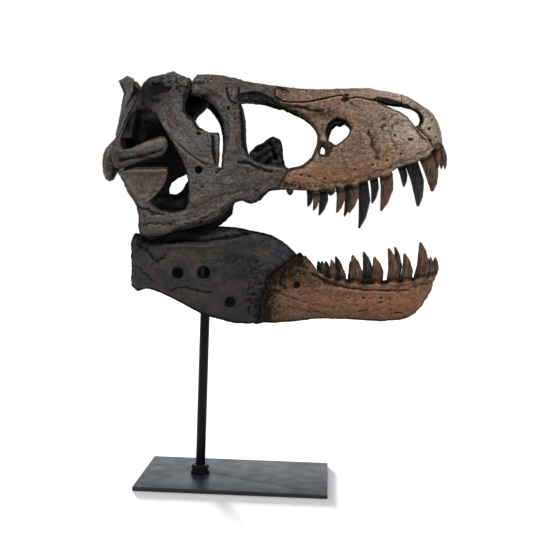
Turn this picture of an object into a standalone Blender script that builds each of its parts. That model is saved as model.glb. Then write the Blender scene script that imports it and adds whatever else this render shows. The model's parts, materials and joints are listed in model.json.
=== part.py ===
"""Quarter-scale cast of a Tyrannosaurus rex skull, jaws open, on a black steel plate and rod.

The origin is on the underside of the plate, under the rod. +X points to the snout, +Y to the
animal's left and +Z up. Outlines are (x, z) pairs in millimetres, seen from the right side.
A run is one smooth edge, and bones that meet share the run between them.
"""

import math

import bmesh
import bpy
import numpy as np
from mathutils import Vector
from mathutils.geometry import delaunay_2d_cdt

MM = 0.001
PART_NAME = "tyrannosaurus_skull_replica"

# Driving sizes in millimetres
SUTURE_GAP = 0.32
MIDLINE = 0.16
SKULL_ROLL = math.radians(2.0)
ROLL_AXIS_Y = -50.0
SNOUT_SLIP = ((40, 0), (75, 3), (110, 5.5), (150, 6.5), (190, 5), (225, 1.5), (248, 0))
CHEEK_SLIP = ((-30, 0), (5, -3.5), (28, -3.5), (50, 0))
CHEEK_SLIP_Y = 22.0
SLIP_BLEND = 8.0
RUN_STEP = 7.0
JAW_STEP = 8.0
FINE_STEP = 5.0
# How far a bone's rounded edge drops, and over what share of a step
EDGE_DROP = 1.3
EDGE_ROUND = 0.55
# Least distance of an inner point from an edge, as a share of a step
EDGE_CLEARANCE = 0.6
# Least sine at a corner when an outline is moved in or out, and the distance that welds points
LEAST_CORNER = 0.45
WELD = 0.002
PLATE_LENGTH = 195.0
PLATE_DEPTH = 130.0
PLATE_THICKNESS = 4.0
PLATE_CENTRE = (37.1, -3.2)
PLATE_TURN = math.radians(-5.0)
ROD_RADIUS = 5.0
ROD_LEAN = math.radians(0.5)
ROD_TOP = 308.0
ROD_SOCKET_FLOOR = 2.0
STAND_GAP = 0.2
NUT_ACROSS_FLATS = 17.0
NUT_HEIGHT = 6.4
NUT_TURN = math.radians(25)
WASHER_RADIUS = 10.0
WASHER_HEIGHT = 3.0
ROUND_SIDES = 32
OVAL_SIDES = 12
HOLE_SIDES = 10
SMALL_HOLE_SIDES = 8

# Thickness of the bones
WALL = 5.0
LEAST_WALL = 1.6
THIN_WALL = 4.0
FRONT_WALL = 6.0
HEAVY_WALL = 6.5
SQUAMOSAL_ROOF_WALL = 12.0
SQUAMOSAL_ROOF_FOOT = 390.0
# Where a wall grows: from x, to x, and by how much
SNOUT_TIP_GROWTH = (222, 242, 5.0)
TOOTH_ROW_GROWTH = (110, 130, 4.0)
CHIN_GROWTH = (222, 238, 6.0)
# A thicker bar along the upper tooth margin, and a block round the joint of the jaw
TOOTH_BAR = 4.5
TOOTH_BAR_HEIGHT = 14.0
JOINT_BLOCK = 12.0
JOINT_BLOCK_FRONT = -25.0
JOINT_BLOCK_FOOT = 232.0
# How far in the roof parts of the lacrimal and postorbital reach
LACRIMAL_SHELF_FOOT = 402.0
LACRIMAL_SHELF_FRONT = 66.0
LACRIMAL_CLEARANCE = 1.0
BROW_FOOT = 401.0
BROW_REACH = ((-57, 46), (-34, 46), (-30, 36), (-16, 36))

# Half-width of the skull at the cheek or tooth margin and at the roof, by x
MARGIN_HALF_WIDTH = (
    (-99, 72), (-85, 82), (-60, 92), (-35, 89), (-10, 85), (15, 79), (35, 72), (55, 63), (80, 54),
    (110, 49), (140, 46), (170, 42), (195, 38), (215, 34), (230, 26), (241, 14), (248, 3),
)
ROOF_HALF_WIDTH = (
    (-99, 56), (-85, 58), (-60, 60), (-35, 57), (-10, 52), (15, 47), (35, 42), (55, 34), (80, 22),
    (110, 18), (140, 16), (170, 15), (195, 12), (215, 9), (230, 7), (242, 4), (248, 2.5),
)
MARGIN_HEIGHT = (
    (-99, 290), (-60, 262), (-20, 264), (30, 288), (70, 303), (115, 303), (184, 322), (216, 338),
    (246, 352),
)
ROOF_HEIGHT = (
    (-99, 402), (-60, 408), (-30, 413), (0, 415), (60, 409), (100, 407), (170, 409), (198, 404),
    (213, 398), (228, 389), (236, 380), (246, 360),
)
SIDE_FULLNESS = ((-99, 2.2), (40, 2.2), (90, 1.6), (180, 1.6), (215, 2.0), (248, 2.0))

# Half-width, middle height and half-height of the lower jaw, by x
JAW_HALF_WIDTH = (
    (-67, 83), (-45, 85), (-15, 82), (15, 76), (45, 69), (75, 61), (105, 52), (135, 43), (165, 36),
    (195, 29), (215, 24), (230, 17), (238, 10), (244, 4),
)
JAW_MIDDLE = ((-67, 228), (-20, 220), (20, 218), (60, 214), (100, 205), (160, 193), (242, 197))
JAW_HALF_HEIGHT = ((-67, 26), (-20, 28), (20, 44), (60, 43), (100, 34), (160, 19), (242, 20))
JAW_BULGE = 0.10
# The shelf near the jaw's top, which rises to the front, the hollow over it, and where it starts and ends
SHELF_HEIGHT = 247.0
SHELF_RISE = 0.23
SHELF_DEPTH = 5.0
SHELF_SPREAD = 6.0
SHELF_HOLLOW_RISE = 8.0
SHELF_HOLLOW_SOFTNESS = 2.5
SHELF_START = (-60, -30)
SHELF_END = (50, 90)

# Runs between two bones of the upper skull
PREMAXILLA_MAXILLA = ((233.5, 349), (230, 354), (225, 360), (213, 372))
MAXILLA_NASAL = (
    (172, 397), (152, 400), (143, 398), (137, 402), (121, 398), (99, 393), (77, 393), (69, 397),
)
MAXILLA_LACRIMAL = ((69, 397), (72, 393), (71, 389))
MAXILLA_JUGAL = ((84, 326), (79, 316), (72, 304))
LACRIMAL_JUGAL = ((43, 338), (32, 336), (18, 338))
JUGAL_POSTORBITAL = ((13.5, 325), (3, 326.5), (-9, 332), (-25, 345), (-40, 361))
JUGAL_QUADRATOJUGAL = ((-30, 280), (-31, 271), (-26, 262))
POSTORBITAL_SQUAMOSAL = ((-54, 379), (-52, 394), (-57, 410))
SQUAMOSAL_CREST = ((-61, 405), (-66, 396), (-73, 386), (-78, 376), (-80, 364), (-85, 352))
DENTARY_SURANGULAR = (
    (94, 239.5), (80, 229), (69, 220), (62, 212), (63, 204), (58, 193), (58, 182), (56, 170.3),
)

# Free edges, each going on from the run before it round its bone, clockwise on the page
PREMAXILLA_FRONT = ((199, 406), (214, 399.5), (229, 390.5), (238, 381.5), (243, 370), (246, 357))
PREMAXILLA_MARGIN = ((246, 357), (240, 353), (233.5, 349))
NARIS_FRONT = ((213, 372), (221, 375.5), (221.5, 383), (214.5, 389.5), (199, 394))
PREMAXILLA_NASAL = ((199, 394), (199, 406))
NARIS_FLOOR = ((213, 372), (204.5, 381.5), (194, 388), (183, 392.5), (172, 397))
MAXILLA_TEETH_EDGE = (
    (72, 304), (90, 304), (115, 303.5), (132, 306.5), (151, 311), (167, 316), (184, 322), (193, 328),
    (212, 334), (223, 341), (233.5, 349),
)
ANTORBITAL_FRONT = (
    (71, 389), (77, 388), (86, 383.5), (97, 378), (107, 369), (112, 359), (111, 348), (106, 337), (97, 329),
    (84, 326),
)
FENESTRA = (
    (121, 363), (124, 371), (132, 378), (141, 376), (146, 368), (143, 360), (131, 350), (123, 355),
)
FENESTRA_SLIT = ((114.8, 341.5), (116.2, 351), (119.8, 347), (119.4, 340.5))
LAMINA_EDGE = (
    (123.5, 361), (125.5, 368), (130, 372.5), (134, 371.5), (138, 374), (142, 371.5), (146, 366), (147, 360),
    (140, 354), (131, 348), (123.5, 353.5),
)
LAMINA_REACH = 4.5
LAMINA_SINK = 3.5
LACRIMAL_ROOF = ((-14, 408), (-10, 415), (0, 416), (17, 415), (35, 412), (52, 409.5), (69, 407))
LACRIMAL_NASAL = ((69, 407), (69, 397))
ANTORBITAL_TOP = (
    (71, 389), (60, 392.5), (47, 395), (34, 393.5), (37, 381), (39.5, 369), (40, 358), (40.5, 348), (43, 338),
)
ORBIT_FRONT = ((18, 338), (19, 352), (16.5, 369), (8.5, 383), (-2, 391.5), (-13, 393))
LACRIMAL_REAR = ((-13, 393), (-15, 400), (-14, 408))
ANTORBITAL_BOTTOM = ((43, 338), (50, 332), (62, 328), (84, 326))
CHEEK_FRONT = (
    (72, 304), (64, 301.5), (56, 293.5), (46, 289), (38, 292.5), (30, 290), (21, 280), (11.5, 272),
    (-8, 266), (-26, 262),
)
LOWER_TEMPORAL_FRONT = (
    (-30, 280), (-17, 283), (-14, 296), (-14, 308), (-18, 323), (-28, 342), (-40, 361),
)
ORBIT_BOTTOM = ((13.5, 325), (15.5, 322), (17.3, 325), (18, 338))
POSTORBITAL_ROOF = ((-57, 410), (-42, 414), (-33, 417.5), (-25, 413.5), (-16, 410.5))
POSTORBITAL_FRONT = (
    (-16, 410.5), (-16, 399), (-21, 387), (-20, 377), (-11.5, 369.5), (-5, 362), (4, 358), (13.5, 357.5),
    (14.3, 345), (14.5, 335), (13.5, 325),
)
UPPER_TEMPORAL_FRONT = ((-40, 361), (-43, 366), (-47, 374), (-54, 379))
SQUAMOSAL_ROOF = ((-57, 410), (-61, 405))
SQUAMOSAL_REAR = ((-85, 352), (-90, 343), (-89.5, 331), (-86.5, 322.5), (-82, 320.5), (-76, 321))
SQUAMOSAL_FORK = (
    (-76, 321), (-67, 325), (-52, 330.5), (-41, 333), (-35, 343), (-38, 352), (-47, 351), (-60, 345),
    (-71, 340), (-78, 339), (-81, 346), (-77, 361), (-72, 372), (-65, 378), (-54, 379),
)
QUADRATOJUGAL_REAR = (
    (-26, 262), (-37, 258), (-48, 257), (-59, 257), (-61, 265), (-61, 276), (-64, 287), (-72, 298),
    (-77, 308), (-83.5, 317.5),
)
QUADRATOJUGAL_TOP = ((-83.5, 317.5), (-76, 319), (-68, 321.3), (-50, 322.5), (-34, 323))
LOWER_TEMPORAL_REAR = ((-34, 323), (-35.5, 310), (-41.5, 299), (-50, 289), (-42, 283), (-30, 280))
# The left plate is narrower, so that the opening can be seen through
LEFT_QUADRATOJUGAL_TOP = ((-83.5, 317.5), (-76, 319), (-68, 321.3), (-49, 322.5))
LEFT_TEMPORAL_REAR = ((-49, 322.5), (-49, 310), (-53, 299), (-57, 289), (-44, 283), (-30, 280))

# Free edges of the lower jaw
SURANGULAR_TOP = (
    (-68.5, 238), (-69.5, 249), (-66.5, 257), (-59, 253), (-50, 248.5), (-43, 249.3), (-36, 253),
    (-30, 257.5), (-15, 262.8), (11, 264.5), (32, 264), (52, 260.5), (71, 256.5), (82, 250.2), (94, 239.5),
)
SURANGULAR_BOTTOM = (
    (56, 170.3), (36, 170.3), (18, 174.5), (0, 180), (-20, 190.3), (-37, 199), (-53, 204), (-62.5, 200.5),
    (-68.5, 206.5), (-68, 222), (-68.5, 238),
)
DENTARY_TOP = (
    (94, 239.5), (98, 236), (102.5, 239), (108, 233), (114, 225), (125, 217), (142, 213), (158, 211),
    (187, 211), (213, 214), (232, 217), (243, 219),
)
DENTARY_BOTTOM = (
    (243, 219), (239.5, 208), (234, 197), (227, 187.3), (218.5, 179), (205, 174), (180, 172), (149, 174),
    (116, 174.5), (84, 171.5), (56, 170.3),
)

# The nasals: height of their ridge, and of their feet behind and in front of the maxilla
NASAL_TOP = (
    (16, 418), (35, 415), (65, 411.5), (99, 408.5), (137, 409.5), (168, 411), (180, 409), (198.6, 406),
)
NASAL_REAR_FEET = ((16, 401), (26, 401), (38, 401), (52, 401), (69, 401))
NASAL_FRONT_FEET = ((178, 396.3), (184, 395), (190.5, 394.3), (198.6, 394.2))
NASAL_ARC = 9
NASAL_HALF_WIDTH = 21.5
NASAL_WALL = 4.5
NASAL_WALL_SHARE = 0.52
NASAL_FLARE = 0.5
NASAL_SQUARENESS = 0.8

# Palate plates, on their own upright surfaces
PTERYGOID = (
    (-54, 290), (-45, 290), (-37, 291), (-30.5, 294.5), (-23, 300.5), (-16.5, 311), (-3, 310), (12, 314),
    (36, 323), (58, 317), (58, 307), (37, 298), (29, 286), (28, 277), (21.5, 270), (14, 265), (4, 259),
    (-8, 251), (-22, 249), (-33, 249), (-42, 251.5), (-41, 264), (-44, 274), (-54, 278),
)
PTERYGOID_SPREAD = ((-54, 58), (0, 30), (60, 17))
PALATINE = (
    (60, 308), (60, 318), (46, 326), (44, 341), (57, 351), (68, 358), (75.5, 354), (77, 343), (79, 330),
    (88, 321), (102, 317), (118, 315), (118, 308), (90, 306),
)
PALATINE_SPREAD = 28.0
LEFT_QUADRATE_WING = (
    (-69, 305), (-60, 308), (-48, 309), (-35, 312), (-26, 315), (-19, 320), (-17, 330), (-24, 343),
    (-33, 352), (-48, 352), (-60, 344), (-69, 330),
)
# The right wing also reaches down in front of the jaw joint
RIGHT_QUADRATE_WING = (
    (-69, 297), (-60, 294), (-50, 292.5), (-41, 293), (-34.5, 296), (-35, 302), (-33, 307.5), (-26, 313.5),
    (-19, 318.5), (-17, 330), (-24, 343), (-33, 352), (-48, 352), (-60, 344), (-69, 330),
)
QUADRATE_WING_SPREAD = ((-70, 67), (-15, 40))

# Solids lofted through ovals. Along z: x, y, z, half-depth, half-width
QUADRATE_PILLAR = (
    (-48, 69, 252.5, 8.5, 13), (-47.5, 69, 257.5, 12, 14), (-51, 69, 268, 10, 11), (-58, 71, 285, 7, 7),
    (-67, 68, 305, 6, 6), (-74, 64, 318, 5, 6), (-75, 64, 325, 4, 5),
)
TUBER = ((-70, 8, 340, 12, 8), (-66, 11, 320, 10, 8), (-62, 14, 304, 8, 7), (-60, 15, 297, 5, 5))
# Along x: x, y, z, half-width, half-height
VAULT = (
    (0, 0, 394, 8, 7), (-10, 0, 387, 12, 10), (-20, 0, 378, 15, 21), (-40, 0, 368, 18, 32),
    (-60, 0, 362, 20, 34), (-78, 0, 360, 20, 30), (-88, 0, 352, 14, 18),
)
CONDYLE = ((-80, 0, 340, 7, 7), (-90, 0, 338, 8, 8), (-96, 0, 337, 9.5, 9.5), (-101, 0, 336, 8, 8),
           (-103, 0, 336, 3.5, 3.5))
ROSTRUM = (
    (-66, 0, 330, 12, 12), (-36, 0, 327, 10, 9), (-16, 0, 325, 8, 9), (2, 0, 318, 8, 9),
    (24, 0, 318, 5, 6), (40, 0, 320, 2.5, 3),
)
VOMER = (
    (66, 0, 314, 3, 7), (100, 0, 316, 4, 6), (140, 0, 322, 5, 5), (180, 0, 334, 9, 3), (200, 0, 340, 8, 2.5),
)
JAW_SOCKET = (
    (-64, 68, 240, 8, 8), (-56, 66, 240, 14, 10.5), (-42, 66, 238, 15, 12), (-30, 68, 236, 12, 7),
    (-22, 70, 234, 7, 4),
)
# Along y: x, y, z, half-depth, half-height
OCCIPITAL_WING = (
    (-80, 10, 352, 6, 12), (-84, 35, 344, 6, 12), (-90, 54, 331, 8, 16), (-92.5, 63, 325, 7.5, 18),
    (-93, 68.5, 324, 4, 11),
)

# Forehead: x, half-width, top and bottom
FOREHEAD = (
    (15.6, 21.5, 417.0, 403.0), (4, 21.8, 417.5, 401.0), (-8, 27, 415.5, 398.0), (-17, 34, 412.0, 396.0),
    (-26, 30, 409.0, 395.0), (-34, 15, 408.0, 392.0), (-50, 10, 408.0, 388.0), (-66, 13, 403.5, 386.0),
    (-78, 22, 409.0, 384.0),
)
# Its section: the share of its half-width at the bottom and top, and the height of its slopes
FOREHEAD_FOOT_SHARE = 0.8
FOREHEAD_FOOT_SLOPE = 3.0
FOREHEAD_TOP_SHARE = 0.6
FOREHEAD_TOP_SLOPE = 4.0
# The crest across the rear: its upright section, and how far it leans back at each y
CREST = (
    (-74, 352), (-70, 372), (-70, 390), (-72, 402), (-79, 411), (-87, 407), (-82, 395), (-85, 376),
    (-89, 350),
)
CREST_LEAN = ((-50, 0), (-30, 2), (0, 5), (30, 2), (50, 0))
# The crest's ends, as an upright section at each y
CREST_END = (
    (46, ((-76, 362), (-71, 386), (-71, 402), (-75, 409.5), (-80, 411), (-84, 407), (-80, 395), (-87, 364))),
    (62, ((-84, 353), (-77, 384), (-71, 398), (-71, 408), (-77, 411), (-83, 407), (-78.5, 395), (-88, 352))),
)

# Hills and hollows on the outer faces: centre, radius and height
MAXILLA_RELIEF = (((112, 350), (16, 26), -3.5), ((150, 330), (26, 14), 1.5))
LACRIMAL_RELIEF = (((22, 411), (26, 6), 3.0),)
JUGAL_RELIEF = (((40, 294), (12, 7), 3.5), ((-4, 300), (16, 20), 2.0))
POSTORBITAL_RELIEF = (((-33, 402), (16, 10), 4.5),)
SQUAMOSAL_RELIEF = (((-52, 340), (14, 8), 3.0),)
QUADRATOJUGAL_RELIEF = (((-56, 304), (12, 12), -2.0),)
PALATINE_RELIEF = (((66, 345), (10, 10), 4.0),)
SURANGULAR_RELIEF = (((60, 215), (8, 40), -1.0),)
DENTARY_RELIEF = (((170, 197), (40, 4), -1.2),)
PREMAXILLA_GUM = ((232, 348), (20, 12), 3.5)

# Round holes and pits: centre and radius
JUGAL_FORAMEN = ((-5, 321), 3.0)
SURANGULAR_HOLES = (((-23, 220), 4.6), ((2, 221), 5.4), ((28, 192), 4.4))
DENTARY_HOLE = ((94, 209), 2.6)

# Teeth by side: x on the tooth margin, length, width, and how far the tip leans to the rear
RIGHT_UPPER_TEETH = (
    (84.5, 5.5, 7, -0.5), (111, 20, 7, 1.5), (126.5, 6, 8.5, 0.5), (136, 26, 9, 3), (149.5, 29, 10, 4),
    (182.5, 37, 13.5, 4), (223.5, 36, 16, -8.5),
)
LEFT_UPPER_TEETH = (
    (106, 19, 7, 2), (119.5, 28.5, 10, 3.5), (145, 34.5, 9, 2.5), (160.5, 51, 14, 1.5), (173.5, 28, 9.5, 1),
    (204.5, 22.5, 9.5, -4), (215.8, 48, 17, -10),
)
PREMAXILLA_TEETH = ((236.8, 27, 7, 1), (241, 25, 6.5, -6.5))
RIGHT_LOWER_TEETH = (
    (120.5, 14, 6, 1), (130, 20, 8, 1), (140.5, 14, 8.5, 1), (154.5, 28.5, 14, 3), (176.5, 28, 11.5, 2),
    (194.5, 36, 12.5, 5), (209, 29, 12, 2.5), (224, 39, 13.5, 0.5), (235, 22, 6, -1), (240.5, 20, 6.5, -1.5),
)
LEFT_LOWER_TEETH = (
    (123, 12, 6, 1), (131, 15, 7, 1), (144, 23, 10, 3.5), (159, 20, 11, 3), (174, 31, 12, 4.5),
    (185.5, 24, 11, 3), (205, 36, 8.5, 3), (215, 20, 9, 1), (235, 20, 6, -1), (240.5, 19, 6.5, -1.5),
)
TOOTH_SIDES = 7
TOOTH_FLATNESS = 0.62
TOOTH_BOW = 0.09
TOOTH_PROFILE = ((0.0, 1.0), (0.4, 0.92), (0.76, 0.56), (0.98, 0.12))
ROOT_DEPTH = 6.0
ROOT_TAPER = 0.62
UPPER_SETBACK = 4.8
PREMAXILLA_SETBACK = 4.0
LOWER_SETBACK = 5.0
TOOTH_SINK = 0.5
# How far from the midline a tip stands, as a share of its foot
UPPER_SPLAY = 0.985
LOWER_SPLAY = 1.03

# Colours as sRGB from 0 to 1, with roughness and metallic
REAR_BONE = ((0.23, 0.20, 0.18), 0.62, 0.0)
DARK_BONE = ((0.12, 0.11, 0.11), 0.60, 0.0)
SNOUT_BONE = ((0.40, 0.29, 0.21), 0.60, 0.0)
PALE_BONE = ((0.50, 0.38, 0.29), 0.60, 0.0)
JAW_BONE = ((0.38, 0.25, 0.17), 0.60, 0.0)
BLACK_STEEL = ((0.025, 0.026, 0.028), 0.42, 0.4)
DARK_NUT = ((0.03, 0.03, 0.035), 0.35, 0.8)


def at(x, stations):
    """Smooth value at x between stations of (x, value) in rising x."""
    xs = np.array([station[0] for station in stations], float)
    values = np.array([station[1] for station in stations], float)
    slopes = np.gradient(values, xs)
    x = float(np.clip(x, xs[0], xs[-1]))
    i = int(np.clip(np.searchsorted(xs, x) - 1, 0, len(xs) - 2))
    span = xs[i + 1] - xs[i]
    t = (x - xs[i]) / span
    start = (1 + 2 * t) * (1 - t) ** 2 * values[i] + t * (1 - t) ** 2 * span * slopes[i]
    end = t * t * (3 - 2 * t) * values[i + 1] + t * t * (t - 1) * span * slopes[i + 1]
    return start + end


def growth(x, start, end, amount):
    """0 up to one x and a full amount from another, with an even rise between."""
    return amount * float(np.clip((x - start) / (end - start), 0, 1))


def hill(x, z, centre, radius, height):
    """A smooth hill, or a hollow where height is below zero."""
    distance = math.hypot((x - centre[0]) / radius[0], (z - centre[1]) / radius[1])
    return height * math.exp(-distance * distance)


def faces(side_at, relief, thickness):
    """A bone's outer face on a side surface, with its relief, and the inner face at a thickness."""
    def outer(x, z):
        return side_at(x, z) + sum(hill(x, z, *shape) for shape in relief)

    def inner(x, z):
        return outer(x, z) - (thickness(x, z) if callable(thickness) else thickness)

    return outer, inner


def skull_side(x, z):
    """Distance from the midline to the outer face of the skull."""
    roof = at(x, ROOF_HALF_WIDTH)
    margin = at(x, MARGIN_HALF_WIDTH)
    top = at(x, ROOF_HEIGHT)
    down = min(max((top - z) / (top - at(x, MARGIN_HEIGHT)), 0.0), 1.0)
    return roof + (margin - roof) * (1 - (1 - down) ** at(x, SIDE_FULLNESS))


def jaw_side(x, z):
    """Distance from the midline to the outer face of the lower jaw, with the shelf near its top."""
    level = (z - at(x, JAW_MIDDLE)) / at(x, JAW_HALF_HEIGHT)
    width = at(x, JAW_HALF_WIDTH) * (1 - JAW_BULGE * level * level)
    above_shelf = z - SHELF_HEIGHT - max(x, 0) * SHELF_RISE
    hollow = 1 / (1 + math.exp(-(above_shelf - SHELF_HOLLOW_RISE) / SHELF_HOLLOW_SOFTNESS))
    shelf = math.exp(-(above_shelf / SHELF_SPREAD) ** 2) - hollow
    fade = growth(x, *SHELF_START, 1) * (1 - growth(x, *SHELF_END, 1))
    return width + SHELF_DEPTH * shelf * fade


def curve_piece(a, b, c, d, step):
    """Points about one step apart from b up to c, without c, on a smooth curve through all four."""
    count = max(1, round((c - b).length / step))
    found = []
    for i in range(count):
        t = i / count
        bend = (2 * a - 5 * b + 4 * c - d) * t * t + (3 * b - a - 3 * c + d) * t * t * t
        found.append(0.5 * (2 * b + (c - a) * t + bend))
    return found


def smooth_run(points, step):
    """Points about one step apart on a smooth curve through the given ones, ends included."""
    points = [Vector(point) for point in points]
    padded = [points[0] * 2 - points[1]] + points + [points[-1] * 2 - points[-2]]
    found = []
    for quartet in zip(padded, padded[1:], padded[2:], padded[3:]):
        found += curve_piece(*quartet, step)
    return found + [points[-1]]


def ring(runs, step):
    """One closed outline from runs, each turned so that it starts where the last one ended."""
    outline = []
    for run in runs:
        if outline and (Vector(run[0]) - outline[-1]).length > (Vector(run[-1]) - outline[-1]).length:
            run = tuple(reversed(run))
        elif not outline and min(math.dist(run[0], end) for end in (runs[1][0], runs[1][-1])) < 0.01:
            run = tuple(reversed(run))
        points = smooth_run(run, step)
        outline += points if not outline else points[1:]
    if (outline[0] - outline[-1]).length < 0.01:
        outline.pop()
    return outline


def hole_ring(points, step):
    """A smooth closed outline for an opening, with no point given twice."""
    wrapped = [Vector(point) for point in points]
    found = []
    for i in range(len(wrapped)):
        quartet = [wrapped[(i + k - 1) % len(wrapped)] for k in range(4)]
        found += curve_piece(*quartet, step)
    return found


def round_hole(centre, radius, sides=HOLE_SIDES):
    """A circle's corners, for a hole in a bone."""
    turns = [2 * math.pi * i / sides for i in range(sides)]
    return [Vector((centre[0] + radius * math.cos(a), centre[1] + radius * math.sin(a))) for a in turns]


def area(outline):
    """Area inside an outline, above zero where it runs anticlockwise."""
    pairs = zip(outline, outline[1:] + outline[:1])
    return 0.5 * sum(a.x * b.y - b.x * a.y for a, b in pairs)


def inset(outline, distance):
    """The outline moved inwards by a distance, or outwards where it is below zero."""
    if area(outline) < 0:
        outline = outline[::-1]
    moved = []
    for a, b, c in zip(outline[-1:] + outline[:-1], outline, outline[1:] + outline[:1]):
        before = (b - a).normalized()
        after = (c - b).normalized()
        inward = Vector((-before.y - after.y, before.x + after.x))
        inward = inward.normalized() if inward.length > 1e-6 else Vector((-before.y, before.x))
        share = max(LEAST_CORNER, inward.dot(Vector((-before.y, before.x))))
        moved.append(b + inward * (distance / share))
    return moved


def inside(points, loops):
    """Which points lie inside the outline and outside its holes."""
    result = np.zeros(len(points), bool)
    for loop in loops:
        ends = np.array([tuple(p) for p in loop])
        starts = np.roll(ends, 1, axis=0)
        for (x0, z0), (x1, z1) in zip(starts, ends):
            crossing = (z0 > points[:, 1]) != (z1 > points[:, 1])
            with np.errstate(divide="ignore", invalid="ignore"):
                edge_x = x0 + (points[:, 1] - z0) * (x1 - x0) / (z1 - z0)
            result ^= crossing & (points[:, 0] < edge_x)
    return result


def edge_distance(points, loops):
    """Distance from each point to the nearest edge of the outline or its holes."""
    best = np.full(len(points), 1e9)
    for loop in loops:
        ends = np.array([tuple(p) for p in loop])
        starts = np.roll(ends, 1, axis=0)
        for start, end in zip(starts, ends):
            along = end - start
            t = np.clip((points - start) @ along / max(along @ along, 1e-9), 0, 1)
            best = np.minimum(best, np.linalg.norm(points - start - t[:, None] * along, axis=1))
    return best


def inner_grid(loops, step):
    """Points inside the outline, in staggered rows one step apart and clear of its edges."""
    every = np.array([tuple(p) for p in loops[0]])
    low, high = every.min(axis=0), every.max(axis=0)
    grid = []
    for i, z in enumerate(np.arange(low[1], high[1], step * math.sqrt(0.75))):
        shift = step / 2 if i % 2 else 0
        grid += [(x, z) for x in np.arange(low[0] + shift, high[0], step)]
    grid = np.array(grid)
    grid = grid[inside(grid, loops)]
    return grid[edge_distance(grid, loops) > step * EDGE_CLEARANCE]


def flat_triangles(loops, step):
    """Points and triangles that fill the outline round its holes, about one step apart."""
    corners = []
    edges = []
    for loop in loops:
        first = len(corners)
        corners += [Vector((p[0], p[1])) for p in loop]
        edges += [(first + i, first + (i + 1) % len(loop)) for i in range(len(loop))]
    corners += [Vector((float(x), float(z))) for x, z in inner_grid(loops, step)]
    points, _, faces, _, _, _ = delaunay_2d_cdt(corners, edges, [], 0, 1e-4)
    points = np.array([tuple(p) for p in points])
    faces = np.array([tuple(face) for face in faces if len(face) == 3])
    middles = points[faces].mean(axis=1)
    faces = faces[inside(middles, loops)]
    a, b, c = (points[faces[:, i]] for i in range(3))
    turn = (b[:, 0] - a[:, 0]) * (c[:, 1] - a[:, 1]) - (b[:, 1] - a[:, 1]) * (c[:, 0] - a[:, 0])
    faces = faces[np.abs(turn) > 1e-6]
    turn = turn[np.abs(turn) > 1e-6]
    faces[turn < 0] = faces[turn < 0][:, ::-1]
    return points, faces


def add_object(name, points, faces, collection):
    """A mesh object from points in millimetres, with every face turned outwards."""
    mesh = bpy.data.meshes.new(name)
    mesh.from_pydata([tuple(float(v) * MM for v in point) for point in points], [], faces)
    shape = bmesh.new()
    shape.from_mesh(mesh)
    bmesh.ops.delete(shape, geom=[v for v in shape.verts if not v.link_faces], context="VERTS")
    bmesh.ops.recalc_face_normals(shape, faces=shape.faces)
    if shape.calc_volume(signed=True) < 0:
        bmesh.ops.reverse_faces(shape, faces=shape.faces)
    shape.to_mesh(mesh)
    shape.free()
    part = bpy.data.objects.new(name, mesh)
    collection.objects.link(part)
    return part


def bone_plate(name, side, loops, outer, inner, step, collection):
    """A curved bone between an outer and an inner face. side is -1 on the right, 1 on the left."""
    loops = [inset(loops[0], SUTURE_GAP / 2)] + [inset(loop, -SUTURE_GAP / 2) for loop in loops[1:]]
    flat, triangles = flat_triangles(loops, step)
    edge = edge_distance(flat, loops)
    count = len(flat)
    front = []
    back = []
    for (x, z), distance in zip(flat, edge):
        face = outer(x, z) - EDGE_DROP * max(0.0, 1 - distance / (EDGE_ROUND * step)) ** 2
        hidden = max(MIDLINE, inner(x, z))
        face = max(face, hidden + LEAST_WALL)
        front.append((x, side * face, z))
        back.append((x, side * hidden, z))
    faces = [tuple(int(v) for v in triangle) for triangle in triangles]
    used = {(a, b) for face in faces for a, b in zip(face, face[1:] + face[:1])}
    walls = [(b, a, a + count, b + count) for a, b in used if (b, a) not in used]
    linings = [tuple(v + count for v in reversed(face)) for face in faces]
    return add_object(name, front + back, faces + walls + linings, collection)


def loft(name, sections, collection, arched=False):
    """A closed solid through sections of equal point count. Arched ends are filled across the arch."""
    count = len(sections[0])
    points = [point for section in sections for point in section]
    faces = []
    for i in range(len(sections) - 1):
        for k in range(count):
            a, b = i * count + k, i * count + (k + 1) % count
            faces.append((a, b, b + count, a + count))
    for first in (0, len(points) - count):
        last = first + count - 1
        if arched:
            faces += [(first + k, first + k + 1, last - k - 1, last - k) for k in range(count // 2 - 1)]
        else:
            faces.append(tuple(range(first, last + 1)))
    return add_object(name, points, faces, collection)


def oval(centre, across, up, half_across, half_up, sides=OVAL_SIDES):
    """An oval ring round a centre, in the plane of two directions."""
    centre, across, up = Vector(centre), Vector(across).normalized(), Vector(up).normalized()
    turns = [2 * math.pi * i / sides for i in range(sides)]
    return [centre + across * half_across * math.cos(a) + up * half_up * math.sin(a) for a in turns]


def upright_ovals(name, side, stations, collection):
    """A solid through level ovals, each given as x, y, z, half-depth and half-width."""
    return loft(name, [
        oval((x, side * y, z), (1, 0, 0), (0, 1, 0), deep, wide) for x, y, z, deep, wide in stations
    ], collection)


def lengthwise_ovals(name, side, stations, collection):
    """A solid through ovals across x, each given as x, y, z, half-width and half-height."""
    return loft(name, [
        oval((x, side * y, z), (0, 1, 0), (0, 0, 1), wide, high) for x, y, z, wide, high in stations
    ], collection)


def sideways_ovals(name, side, stations, collection):
    """A solid through ovals across y, each given as x, y, z, half-depth and half-height."""
    return loft(name, [
        oval((x, side * y, z), (1, 0, 0), (0, 0, 1), deep, high) for x, y, z, deep, high in stations
    ], collection)


def applied(part):
    """Makes a part's mesh what its modifiers show, and takes them off."""
    bpy.context.view_layer.update()
    shown = part.evaluated_get(bpy.context.evaluated_depsgraph_get())
    mesh = bpy.data.meshes.new_from_object(shown)
    part.modifiers.clear()
    part.data = mesh


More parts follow.
